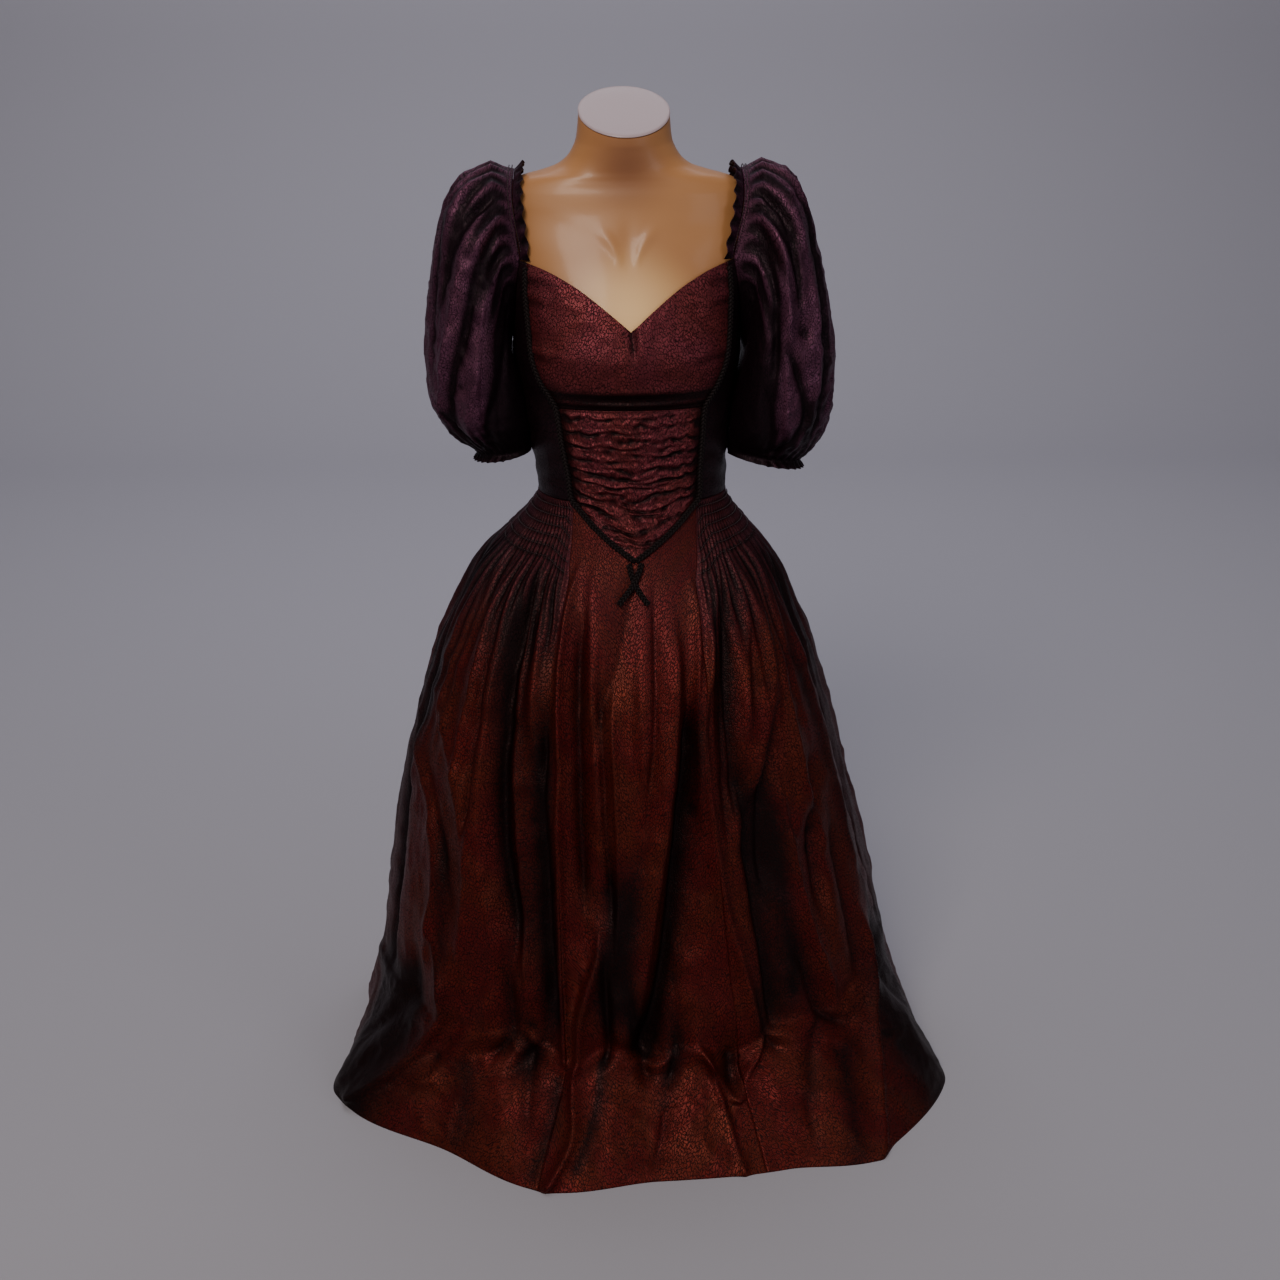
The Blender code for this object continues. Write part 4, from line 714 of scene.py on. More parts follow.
def bustPanel():
    across, up = panelGrid(120, 96)
    side = 2 * across - 1
    topHeight = gownForm["princess"][-1][0]
    base = gownForm["underbust"] + bodiceLook["seamGap"] / 2
    edge = necklineHeight(gownForm["princess"][-1][1] * side)
    height = base + (edge - base) * up
    angle = princessAngle(base + (topHeight - base) * up) * side
    middle = np.sqrt(np.sin(np.pi * np.clip(across, 0.001, 0.999)))
    # two soft folds lie over the underbust seam, and a short pleat falls from the point of the neckline
    low, high = height - 0.9155 - 0.0030 * side ** 2, height - 0.9325 - 0.0025 * side
    lift = 0.0050 * np.exp(-(low / 0.0036) ** 2) * middle
    lift += 0.0042 * np.exp(-(high / 0.0062) ** 2) * middle * (0.8 + 0.2 * np.cos(side * 5))
    # painted shade along the underbust seam, in the band under the cups and in the lower soft fold
    paintedShade = 1.10 * np.exp(-((height - 0.9095) / 0.0030) ** 2)
    paintedShade += 0.55 * (1 - ramp(height, 0.922, 0.942)) * middle
    paintedShade += 0.85 * np.exp(-((height - 0.9245 - 0.003 * side ** 2) / 0.0042) ** 2) * middle
    offset = side * 0.13 - 0.001 - (1.009 - height) * 0.10
    pleat = ramp(height, 0.966, 0.992)
    lift -= 0.0040 * pleat * np.exp(-np.abs(offset / 0.0042) ** 1.5)
    lift += 0.0016 * pleat * np.exp(-((offset - 0.010) / 0.006) ** 2)
    # painted shade in the pleat
    paintedShade += 0.70 * pleat * np.exp(-np.abs((offset + 0.001) / 0.0050) ** 1.5)
    for sign in (-1, 1):
        for level, run, size in bodiceLook["dragLines"]:
            line = height - level - sign * side * 0.020
            reach = ramp(sign * side, 0.75 - run, 1.1 - run)
            lift += size * np.exp(-(line / 0.006) ** 2) * reach
            # painted shade under each drag line
            paintedShade += 0.30 * np.exp(-((line + 0.008) / 0.005) ** 2) * reach
    # painted shade: the cloth is painted darker towards the armholes and under the cups
    paintedShade += 0.30 * ramp(np.abs(side), 0.72, 1.0) + 0.25 * (1 - ramp(height, 0.93, 0.975))
    points = bodicePoints(angle, height, lift)
    extra = crumple(points, 0.026, 0.0013, 4.0)
    points = bodicePoints(angle, height, lift + extra * ramp(np.minimum(up, 1 - up), 0, 0.08))
    return clothGrid("bustPanel", points, wineTaffeta, bodiceLook["wall"],
                     paintedShade=paintedShade)


def midriffPanel():
    across, up = panelGrid(124, 176)
    side = 2 * across - 1
    low = waistSeamHeight(gownForm["basqueAngle"] * side) + bodiceLook["seamGap"] / 2
    high = gownForm["underbust"] - bodiceLook["seamGap"] / 2
    height = low + (high - low) * up
    edgeHeight = gownForm["waistHeight"] + (gownForm["underbust"] - gownForm["waistHeight"]) * up
    angle = princessAngle(edgeHeight) * side
    lift = np.zeros(across.shape)
    paintedShade = np.zeros(across.shape)
    plain = bodicePoints(angle, height)
    drift = crumple(plain, 0.030, 0.0050, 21.0) - 0.0025
    patchy = 0.45 + 1.0 * np.clip(crumple(plain, 0.024, 1.0, 24.0), 0, 1)
    for level, riseRight, riseLeft, start, end, size in bodiceLook["creases"]:
        rise = np.where(side < 0, riseRight, riseLeft)
        line = level + rise * np.abs(side) ** 1.7 + 0.0011 * np.sin(across * 15 + level * 900) + drift
        fadeIn = 1.0 if start == 0 else ramp(across, start - 0.10, start + 0.12)
        fadeOut = 1.0 if end == 1 else 1 - ramp(across, end - 0.12, end + 0.10)
        strength = size * fadeIn * fadeOut * (0.6 + 0.4 * np.abs(side)) * patchy
        away = (height - line) / bodiceLook["creaseWidth"]
        lift -= bodiceLook["creaseDepth"] * strength * np.exp(-np.abs(away) ** 1.3 * 1.6)
        lift += bodiceLook["creaseRise"] * strength * np.exp(-((away - 1.35) / 0.8) ** 2)
        # painted shade in each crease
        paintedShade += 0.85 * strength * np.exp(-np.abs(away + 0.2) ** 1.4 * 1.3)
    # painted shade towards the side seams
    paintedShade += 0.35 * ramp(np.abs(side), 0.75, 1.0)
    edge = ramp(np.minimum(across, 1 - across), 0.02, 0.09) * ramp(np.minimum(up, 1 - up), 0.01, 0.06)
    lift = (lift + 0.0008) * edge
    points = bodicePoints(angle, height, lift)
    extra = crumple(points, 0.011, 0.0017, 7.0) * edge
    # painted shade in the crushed hollows
    paintedShade += np.clip(0.30 - extra / 0.0036, 0, 0.3)
    points = bodicePoints(angle, height, lift + extra)
    return clothGrid("midriffPanel", points, wineTaffeta, bodiceLook["wall"],
                     paintedShade=paintedShade)


def sidePanel(name, sign, back):
    across, up = panelGrid(72 if back else 56, 96)
    share = across if sign > 0 else 1 - across
    low = gownForm["waistHeight"] + bodiceLook["seamGap"] / 2
    seam = gownForm["sideSeam"]
    if back:
        angle = seam + (180 - seam) * share
        top = necklineHeight(angle)
    else:
        topAngle = gownForm["princess"][-1][1]
        top = necklineHeight(topAngle + (seam - topAngle) * share)
        start = princessAngle(low + (gownForm["princess"][-1][0] - low) * up)
        angle = start + (seam - start) * share
    height = low + (top - low) * up
    edge = ramp(np.minimum(up, 1 - up), 0, 0.06) * ramp(np.minimum(across, 1 - across), 0, 0.05)
    # faint drag lines where the bodice is drawn in at the waist
    fade = ramp(height, 0.79, 0.82) * (1 - ramp(height, 0.86, 0.92))
    lift = 0.0010 * np.sin(height * 190 + share * 5) * fade
    points = bodicePoints(sign * angle, height, lift * edge)
    extra = crumple(points, 0.035, 0.0009, 9.0 + sign) * edge
    points = bodicePoints(sign * angle, height, lift * edge + extra)
    return clothGrid(name, points, darkTaffeta, bodiceLook["wall"])


bodicePanels = {"bustPanel": bustPanel(), "midriffPanel": midriffPanel()}
for part, back in (("sideFront", False), ("bodiceBack", True)):
    for side, sign in (("Left", 1), ("Right", -1)):
        bodicePanels[part + side] = sidePanel(part + side, sign, back)
print("stage 4: bodice made")


# sleeves

sleeveLook = {
    "wall": 0.0012,
    "columns": 168,
    "rowsPerRing": 10,
    "headGap": 0.0007,
    "clearance": 0.0016,
    "headDepth": 0.056,
    "headCentreY": 0.004,
    "headHalfHeight": 0.106,
    "headTopX": 0.143,
    "gathers": 30,
    "headGather": 0.0052,
    "cuffGather": 0.0036,
    "frillWaves": 26,
    "frillHeight": 0.0036,
    "seeds": {"right": 34, "left": 21},
    # inner end x and z, outer end x and z, half depth, centre y
    "rings": {
        "right": [
            (0.1505, 0.966, 0.172, 1.202, 0.070, 0.004), (0.1435, 0.946, 0.204, 1.187, 0.081, 0.002),
            (0.1360, 0.926, 0.228, 1.156, 0.089, 0.000), (0.1320, 0.907, 0.243, 1.102, 0.093, -0.002),
            (0.1295, 0.890, 0.254, 1.032, 0.092, -0.003), (0.1275, 0.876, 0.259, 0.968, 0.087, -0.004),
            (0.1260, 0.866, 0.256, 0.914, 0.078, -0.004), (0.1250, 0.858, 0.236, 0.874, 0.063, -0.003),
            (0.1250, 0.851, 0.206, 0.845, 0.047, -0.002), (0.1255, 0.845, 0.197, 0.835, 0.041, -0.002),
            (0.1265, 0.838, 0.200, 0.826, 0.045, -0.002),
        ],
        "left": [
            (0.1500, 0.964, 0.168, 1.203, 0.070, 0.004), (0.1430, 0.943, 0.198, 1.190, 0.081, 0.002),
            (0.1355, 0.922, 0.221, 1.158, 0.089, 0.000), (0.1310, 0.902, 0.240, 1.100, 0.094, -0.002),
            (0.1285, 0.885, 0.255, 1.030, 0.094, -0.003), (0.1265, 0.871, 0.265, 0.962, 0.090, -0.004),
            (0.1250, 0.861, 0.264, 0.902, 0.082, -0.004), (0.1240, 0.853, 0.252, 0.858, 0.068, -0.003),
            (0.1240, 0.846, 0.233, 0.830, 0.052, -0.002), (0.1250, 0.840, 0.227, 0.821, 0.046, -0.002),
            (0.1260, 0.833, 0.230, 0.811, 0.050, -0.002),
        ],
    },
    # turn and ring at the start and end, spread in degrees, height
    "folds": {
        "right": [
            (34, 0.8, 24, 4.2, 9, 0.0070), (50, 0.9, 40, 5.0, 7, -0.0085), (66, 1.0, 52, 6.5, 9, 0.0075),
            (84, 1.0, 72, 5.2, 7, -0.0080), (100, 1.0, 90, 6.8, 10, 0.0070), (122, 1.4, 112, 7.2, 9, -0.0065),
            (58, 5.0, 30, 8.8, 8, 0.0080), (72, 4.6, 46, 8.4, 6, -0.0075), (92, 4.8, 62, 9.0, 8, 0.0065),
            (112, 5.2, 84, 9.0, 7, -0.0060), (22, 3.0, 34, 6.5, 7, -0.0050), (40, 7.0, 70, 9.2, 6, -0.0050),
            (-28, 2.0, -22, 7.0, 11, 0.0050), (-48, 1.6, -40, 7.0, 9, -0.0065),
            (-74, 1.2, -64, 7.5, 11, 0.0065), (-108, 1.6, -100, 7.5, 10, -0.0065),
        ],
        "left": [
            (30, 0.9, 44, 3.6, 8, 0.0070), (46, 0.9, 66, 4.4, 7, -0.0090), (60, 1.0, 86, 5.2, 9, 0.0080),
            (76, 1.0, 104, 5.6, 7, -0.0085), (96, 1.0, 122, 6.0, 10, 0.0060), (12, 1.8, 40, 7.0, 8, 0.0060),
            (24, 3.2, 54, 8.0, 9, -0.0095), (44, 4.2, 70, 8.6, 8, 0.0080), (100, 5.0, 74, 8.8, 9, 0.0080),
            (84, 4.6, 58, 8.0, 6, -0.0070), (116, 4.4, 98, 8.6, 8, -0.0065), (62, 6.6, 96, 9.2, 7, -0.0060),
            (-36, 2.0, -46, 7.0, 11, 0.0065), (-60, 1.4, -62, 7.0, 9, -0.0070),
            (-84, 1.4, -90, 7.5, 11, 0.0065), (-114, 2.0, -112, 7.5, 10, -0.0060),
        ],
    },
}


def bodiceReach(sign, y, height):
    centre, half, front, back = sectionAt(height)
    reach = np.where(y < 0, front, back)
    share = np.clip(1 - (np.abs(y) / reach) ** gownForm["power"], 0, None)
    return centre + sign * half * share ** (1 / gownForm["power"])


def headPoints(sign, turn, rise=0.0):
    # the sleeve's seam: on the bodice below the neckline corner, over the shoulder above it
    look = sleeveLook
    y = look["headCentreY"] - (look["headDepth"] + rise) * np.sin(turn)
    z = gownForm["neckCorner"] + (look["headHalfHeight"] + rise) * np.cos(turn)
    low = np.minimum(z, gownForm["neckCorner"])
    x = bodiceReach(sign, y, low) + sign * look["headGap"]
    share = np.clip(np.cos(turn), 0, 1)
    x = x + (sign * look["headTopX"] - x) * share
    return np.stack([x, y, z], axis=-1)


def sleevePoints(name, sign):
    look = sleeveLook
    turn = np.linspace(0, 2 * np.pi, look["columns"], endpoint=False)
    table = columnsOf(look["rings"][name])
    rings = len(table[0])
    place = np.linspace(0, rings, rings * look["rowsPerRing"] + 1)
    turns, places = np.meshgrid(turn, place)
    knots = np.arange(1, rings + 1)
    innerX, innerZ, outerX, outerZ, depth, centreY = [
        curveThrough(np.maximum(places, 1), knots, column) for column in table
    ]
    middleX, middleZ = (innerX + outerX) / 2, (innerZ + outerZ) / 2
    halfX, halfZ = (outerX - innerX) / 2, (outerZ - innerZ) / 2
    length = np.hypot(halfX, halfZ)
    degrees = np.degrees(turns)
    rng = np.random.default_rng(look["seeds"][name])
    lift = np.zeros(turns.shape)
    paintedShade = np.zeros(turns.shape)
    for turn0, ring0, turn1, ring1, spread, height in look["folds"][name]:
        along = (places - ring0) / (ring1 - ring0)
        centre = turn0 + (turn1 - turn0) * np.clip(along, 0, 1)
        away = ((degrees - centre + 180) % 360 - 180) / spread
        fade = ramp(along, -0.2, 0.2) * (1 - ramp(along, 0.7, 1.15))
        rise = height * fade * np.exp(-(np.sqrt(away ** 2 + 0.06) - 0.245) * 1.7)
        lift += rise
        # painted shade in each fold's valley
        paintedShade += np.maximum(-rise, 0) / 0.0075
    # gathers at the head and at the elastic cuff, each with its own size and a slight lean, with painted
    # shade between them
    count = look["gathers"]
    headFade = ramp(places, 0.0, 0.7) * (1 - ramp(places, 1.2, 4.6))
    cuffFade = ramp(places, 6.2, 9.6) * (1 - ramp(places, 9.9, 10.05) * 0.75)
    for rise, fade in ((look["headGather"], headFade), (look["cuffGather"], cuffFade)):
        size = np.append(rng.uniform(0.45, 1.5, count), 0)
        size[-1] = size[0]
        lean = 0.35 * np.sin(places * 1.3 + degrees / 60)
        wave = degrees / 360 * count + lean * fade
        scale = np.interp(wave % count, np.arange(count + 1), size)
        gather = (0.5 - 0.5 * np.cos(2 * np.pi * wave)) ** 1.3
        lift += rise * scale * fade * gather
        paintedShade += 0.75 * fade * (1 - gather)
    frill = ramp(places, 10.05, 11.0)
    wave = 2 * np.pi * degrees / 360 * look["frillWaves"] + 2 * np.sin(degrees / 30)
    lift += look["frillHeight"] * frill * (0.5 - 0.5 * np.cos(wave))
    # painted shade under the frill at the cuff line
    paintedShade += 0.9 * np.exp(-((places - 10.0) / 0.30) ** 2)
    # painted shade where the sleeve turns to the body and under its overhang, and a little all over
    paintedShade += 0.75 * ramp(-np.cos(turns), -0.15, 0.6) + 0.45 * ramp(places, 6.8, 9.0) + 0.15
    nearBody = np.where(np.cos(turns) < 0, 0.5 + 0.5 * np.cos(turns), 1)
    lift = np.where(lift > 0, lift * nearBody, lift)
    x = middleX + halfX / length * (length + lift) * np.cos(turns)
    z = middleZ + halfZ / length * (length + lift) * np.cos(turns)
    y = centreY - (depth + lift) * np.sin(turns)
    body = np.stack([sign * x, y, z], axis=-1)
    crush = ramp(places, 1.2, 2.6) * (1 - ramp(places, 8.5, 9.8)) * nearBody
    extra = (crumple(body, 0.030, 0.0042, 12.0 + sign) + crumple(body, 0.013, 0.0018, 14.0 + sign)) * crush
    # painted shade in the crushed hollows
    paintedShade += np.clip(-extra / 0.0030, -0.12, 0.5)
    x = x + halfX / length * extra * np.cos(turns)
    z = z + halfZ / length * extra * np.cos(turns)
    y = y - extra * np.sin(turns)
    # the soft sleeve is pressed flat where it lies against the bodice
    x = np.maximum(x, sign * bodiceReach(sign, y, z) + look["clearance"])
    body = np.stack([sign * x, y, z], axis=-1)
    head = headPoints(sign, turns)
    share = ramp(places, 0, 1)[..., None] * 0.4 + np.clip(places, 0, 1)[..., None] * 0.6
    return head * (1 - share) + body * share, paintedShade


def makeSleeve(name, sign):
    points, paintedShade = sleevePoints(name, sign)
    return clothGrid("sleeve" + name.capitalize(), points, plumTaffeta, sleeveLook["wall"],
                     around=True, paintedShade=paintedShade)


ruffleLook = {
    "wall": 0.0008,
    "rows": 13,
    "waves": 15,
    "reach": 90,                  # degrees to both sides of the top of the sleeve head
    "width": 0.0110,
    "rise": 0.0070,
    "wave": 0.0046,
    "seeds": {"right": 8, "left": 5},
}


def makeRuffle(name, sign):
    # the heading that stands up on the neck side of the elastic line
    look = ruffleLook
    turn = np.radians(np.linspace(-look["reach"], look["reach"], look["waves"] * 16 + 1))
    share = np.linspace(0, 1, look["rows"])[:, None]
    rng = np.random.default_rng(look["seeds"][name])
    wave = np.linspace(0, look["waves"], len(turn))
    size = np.interp(wave, np.arange(look["waves"] + 1), rng.uniform(0.6, 1.3, look["waves"] + 1))
    wavy = (0.5 - 0.5 * np.cos(2 * np.pi * wave)) * size
    edge = ramp(wave, 0, 0.5) * (1 - ramp(wave, look["waves"] - 0.5, look["waves"]))
    turns = np.repeat(turn[None, :], look["rows"], axis=0)
    rise = share * look["rise"] + look["wave"] * share * (wavy * edge)[None, :]
    points = headPoints(sign, turns, rise)
    root = headPoints(sign, turns)
    sway = 0.0018 * share * np.sin(2 * np.pi * wave + 0.8)[None, :]
    points[..., 0] = root[..., 0] - sign * (0.0005 + (look["width"] + sway) * share)
    # painted shade between the waves of the ruffle, and over all of it
    paintedShade = 0.35 + 0.6 * (1 - wavy / size.max())[None, :] * (0.4 + 0.6 * share)
    return clothGrid("sleeveRuffle" + name.capitalize(), points, plumTaffeta, look["wall"],
                     paintedShade=paintedShade)


for name, sign in (("right", -1), ("left", 1)):
    makeSleeve(name, sign)
    makeRuffle(name, sign)
print("stage 5: sleeves made")


# braid and stitching

braidLook = {
    "strandRadius": 0.00150,
    "halfWidth": 0.0026,
    "halfDepth": 0.0017,
    "pitch": 0.0150,
    "step": 0.0012,               # metres between the points of a strand
    "lift": 0.0028,
    "cornerLift": 0.0020,         # added where the braid turns from the princess seam to the basque
    "seamRun": 0.36,
    "basqueRun": 0.115,
    "topGap": 0.006,
    "tieStart": 3.2,              # degrees beside the point where an end begins, on its own side
    "tieSwing": 9.6,
    "tieBow": 1.2,
    "tieGap": 0.003,
    "tieLength": 0.045,
    "tieCrossing": 0.0030,        # the left end lies over the right one
}


def pathObject(name, points):
    mesh = bpy.data.meshes.new(name)
    mesh.from_pydata([tuple(p) for p in points], [(i, i + 1) for i in range(len(points) - 1)], [])
    return addObject(name, mesh)


def newTree(name, sizes):
    tree = bpy.data.node_groups.new(name, "GeometryNodeTree")
    tree.interface.new_socket("Geometry", in_out="INPUT", socket_type="NodeSocketGeometry")
    for label, value in sizes.items():
        kind = "NodeSocketInt" if isinstance(value, int) else "NodeSocketFloat"
        tree.interface.new_socket(label, in_out="INPUT", socket_type=kind).default_value = value
    tree.interface.new_socket("Geometry", in_out="OUTPUT", socket_type="NodeSocketGeometry")
    return tree, addNode(tree, "NodeGroupInput"), addNode(tree, "NodeGroupOutput")


def bakeTree(thing, tree, sizes, name):
    # run the tree, keep its result as a plain mesh and drop the guide
    modifier = thing.modifiers.new("rule", "NODES")
    modifier.node_group = tree
    for item in tree.interface.items_tree:
        if item.in_out == "INPUT" and item.name in sizes:
            modifier[item.identifier] = sizes[item.name]
    bpy.context.view_layer.update()
    graph = bpy.context.evaluated_depsgraph_get()
    mesh = bpy.data.meshes.new_from_object(thing.evaluated_get(graph))
    mesh.name = name
    thing.modifiers.remove(modifier)
    bpy.data.objects.remove(thing, do_unlink=True)
    mesh.shade_smooth()
    return addObject(name, mesh)


def finishTree(tree, geometry, material, result):
    real = addNode(tree, "GeometryNodeRealizeInstances", None, {"Geometry": geometry})
    finish = addNode(tree, "GeometryNodeSetMaterial", None,
                     {"Geometry": real.outputs["Geometry"], "Material": material})
    tree.links.new(finish.outputs["Geometry"], result.inputs["Geometry"])


def braidTree(material):
    # three strands plaited flat round the path: each sways across the cloth and dips in and out of it
    sizes = {"Strand Radius": braidLook["strandRadius"], "Half Width": braidLook["halfWidth"],
             "Half Depth": braidLook["halfDepth"], "Pitch": braidLook["pitch"]}
    tree, given, result = newTree("plaitedBraid", sizes)
    curve = addNode(tree, "GeometryNodeMeshToCurve", None, {"Mesh": given.outputs["Geometry"]})
    even = addNode(tree, "GeometryNodeResampleCurve", {"mode": "LENGTH"},
                   {"Curve": curve.outputs["Curve"], "Length": braidLook["step"]})
    tangent = addNode(tree, "GeometryNodeInputTangent").outputs["Tangent"]
    outward = addNode(tree, "GeometryNodeInputNamedAttribute", {"data_type": "FLOAT_VECTOR"},
                      {"Name": "outward"}).outputs["Attribute"]
    across = addVectorMath(tree, "NORMALIZE", addVectorMath(tree, "CROSS_PRODUCT", tangent, outward))
    travelled = addNode(tree, "GeometryNodeSplineParameter").outputs["Length"]
    turns = addMath(tree, "DIVIDE", travelled, given.outputs["Pitch"])
    joined = addNode(tree, "GeometryNodeJoinGeometry")
    profile = addNode(tree, "GeometryNodeCurvePrimitiveCircle", None,
                      {"Resolution": 6, "Radius": given.outputs["Strand Radius"]})
    for k in range(3):
        angle = addMath(tree, "MULTIPLY", addMath(tree, "ADD", turns, k / 3), 2 * math.pi)
        sway = addMath(tree, "MULTIPLY", addMath(tree, "SINE", angle), given.outputs["Half Width"])
        twice = addMath(tree, "SINE", addMath(tree, "MULTIPLY", angle, 2.0))
        dip = addMath(tree, "MULTIPLY", twice, given.outputs["Half Depth"])
        offset = addVectorMath(tree, "ADD", addVectorMath(tree, "SCALE", across, sway),
                               addVectorMath(tree, "SCALE", outward, dip))
        moved = addNode(tree, "GeometryNodeSetPosition", None,
                        {"Geometry": even.outputs["Curve"], "Offset": offset})
        strand = addNode(tree, "GeometryNodeCurveToMesh", None,
                         {"Curve": moved.outputs["Geometry"], "Profile Curve": profile.outputs["Curve"],
                          "Fill Caps": True})
        tree.links.new(strand.outputs["Mesh"], joined.inputs["Geometry"])
    finishTree(tree, joined.outputs["Geometry"], material, result)
    return tree, sizes


def guideWithOutward(name, points, outward):
    guide = pathObject(name, points)
    layer = guide.data.attributes.new("outward", "FLOAT_VECTOR", "POINT")
    layer.data.foreach_set("vector", np.asarray(outward, float).ravel())
    return guide


def surfaceNormals(angle, height):
    around = bodicePoints(angle + 0.5, height) - bodicePoints(angle - 0.5, height)
    upward = bodicePoints(angle, height + 0.006) - bodicePoints(angle, height - 0.006)
    normal = np.cross(around, upward)
    return normal / np.linalg.norm(normal, axis=-1, keepdims=True)


def makeBraid(name, angle, height, lift, tree, sizes):
    normal = surfaceNormals(angle, height)
    points = bodicePoints(angle, height) + normal * (braidLook["lift"] + lift)[:, None]
    made = bakeTree(guideWithOutward(name + "Guide", points, normal), tree, sizes, name)
    settle(made, nodeName(name))


def makeBraids():
    look = braidLook
    tree, sizes = braidTree(braidFinish)
    corner = look["seamRun"] / (look["seamRun"] + look["basqueRun"])
    for name, sign in (("Right", -1), ("Left", 1)):
        share = np.linspace(0, 1, 200)
        top = gownForm["princess"][-1][0] - look["topGap"]
        height = np.where(share <= corner, top + (gownForm["waistHeight"] - top) * share / corner, 0)
        along = np.clip((share - corner) / (1 - corner), 0, 1)
        angle = np.where(share <= corner, princessAngle(height), gownForm["basqueAngle"] * (1 - along))
        angle = angle + np.where(share > corner, 0.5 * along, 0)
        height = np.where(share <= corner, height, waistSeamHeight(angle))
        # round the corner and the bends of the seam by running means
        for _ in range(3):
            angle[4:-4] = np.convolve(angle, np.ones(9) / 9, "same")[4:-4]
            height[4:-4] = np.convolve(height, np.ones(9) / 9, "same")[4:-4]
        lift = look["cornerLift"] * np.exp(-((share - corner) / 0.06) ** 2)
        makeBraid("braid" + name, sign * angle, height, lift, tree, sizes)
        t = np.linspace(0, 1, 40)
        angle = sign * (look["tieStart"] - look["tieSwing"] * t + look["tieBow"] * np.sin(np.pi * t))
        height = gownForm["basquePoint"] - look["tieGap"] - look["tieLength"] * t
        lift = np.full(40, 0.0 if sign < 0 else look["tieCrossing"])
        makeBraid("tieEnd" + name, angle, height, lift, tree, sizes)


stitchLook = {
    "spacing": 0.0034,
    "length": 0.0024,
    "threadRadius": 0.00060,
    "elasticReach": 84,           # degrees to both sides of the top of the sleeve head
    "elasticShifts": (0.0022, 0.0062),
    "elasticLift": 0.0042,
    "shirringLift": 0.0016,
}


def stitchTree(material):
    # short raised stitches laid end to end along the path
    sizes = {"Spacing": stitchLook["spacing"], "Stitch Length": stitchLook["length"],
             "Thread Radius": stitchLook["threadRadius"]}
    tree, given, result = newTree("runningStitch", sizes)
    curve = addNode(tree, "GeometryNodeMeshToCurve", None, {"Mesh": given.outputs["Geometry"]})
    spots = addNode(tree, "GeometryNodeCurveToPoints", {"mode": "LENGTH"},
                    {"Curve": curve.outputs["Curve"], "Length": given.outputs["Spacing"]})
    thread = addNode(tree, "GeometryNodeMeshCylinder", None,
                     {"Vertices": 6, "Radius": given.outputs["Thread Radius"],
                      "Depth": given.outputs["Stitch Length"]})
    aim = addNode(tree, "FunctionNodeAlignRotationToVector", {"axis": "Z"},
                  {"Vector": spots.outputs["Tangent"]})
    laid = addNode(tree, "GeometryNodeInstanceOnPoints", None,
                   {"Points": spots.outputs["Points"], "Instance": thread.outputs["Mesh"],
                    "Rotation": aim.outputs["Rotation"]})
    finishTree(tree, laid.outputs["Instances"], material, result)
    return tree, sizes


def makeStitches():
    # dotted elastic lines at the sleeve heads, and the shirring threads under the waist
    look = stitchLook
    tree, sizes = stitchTree(darkThread)
    guides = []
    for name, sign in (("Right", -1), ("Left", 1)):
        turn = np.radians(np.linspace(-look["elasticReach"], look["elasticReach"], 90))
        for k, shift in enumerate(look["elasticShifts"]):
            line = headPoints(sign, turn, look["elasticLift"])
            line[:, 0] += sign * shift
            guides.append(("elasticStitch%s%d" % (name, k + 1), line))
    share = np.linspace(0.02, 0.98, 160)
    lift = np.full(160, look["shirringLift"])
    for start, end, name in (("left", "leftSide", "Left"), ("rightSide", "right", "Right")):
        for k, drop in enumerate(skirtLook["threadDrops"]):
            level = np.full(160, drop)
            low, high = seamAngles(start, level), seamAngles(end, level)
            points, _ = skirtPoints(low + (high - low) * share, level, lift, crush=False)
            guides.append(("shirringThread%s%d" % (name, k + 1), points))
    for name, points in guides:
        settle(bakeTree(pathObject(name + "Guide", points), tree, sizes, name))


makeBraids()
makeStitches()
print("stage 6: braid and stitching made")


# dress form and stand

formLook = {
    "ease": 0.0052,
    "columns": 128,
    # height, centre in x, half width, front reach, back reach
    "hips": [(0.560, 0.004, 0.146, 0.100, 0.104), (0.590, 0.004, 0.156, 0.108, 0.112),
             (0.650, 0.004, 0.160, 0.110, 0.118), (0.710, 0.004, 0.146, 0.100, 0.106),
             (0.750, 0.004, 0.126, 0.094, 0.086)],
    "shoulders": [(1.120, -0.004, 0.160, 0.069, 0.090), (1.150, -0.004, 0.161, 0.060, 0.084),
                  (1.168, -0.004, 0.156, 0.056, 0.079), (1.180, -0.004, 0.146, 0.053, 0.076),
                  (1.188, -0.004, 0.130, 0.052, 0.073), (1.194, -0.004, 0.107, 0.052, 0.070),
                  (1.202, -0.005, 0.084, 0.053, 0.067), (1.215, -0.005, 0.069, 0.055, 0.063),
                  (1.235, -0.005, 0.060, 0.057, 0.057), (1.264, -0.005, 0.057, 0.058, 0.053)],
    "neckSlope": 0.47,
    "neckPower": 2.0,
    # start, end and number of the rows, closer together from the neckline up
    "rows": [(0.560, 1.03, 50), (1.033, 1.264, 120)],
    # distance from the middle and height of a collar bone's line
    "collarBone": [(0.010, 1.092), (0.016, 1.106), (0.026, 1.119), (0.050, 1.133), (0.110, 1.154)],
    "boneHeight": 0.0021,
    "boneWidth": 0.0095,
    "notchDepth": 0.0018,
}


def formTable():
    inset = formLook["ease"]
    worn = [(height, centre, half - inset, front - inset, back - inset)
            for height, centre, half, front, back in gownForm["sections"]
            if height >= gownForm["waistHeight"]]
    return formLook["hips"] + worn + formLook["shoulders"]


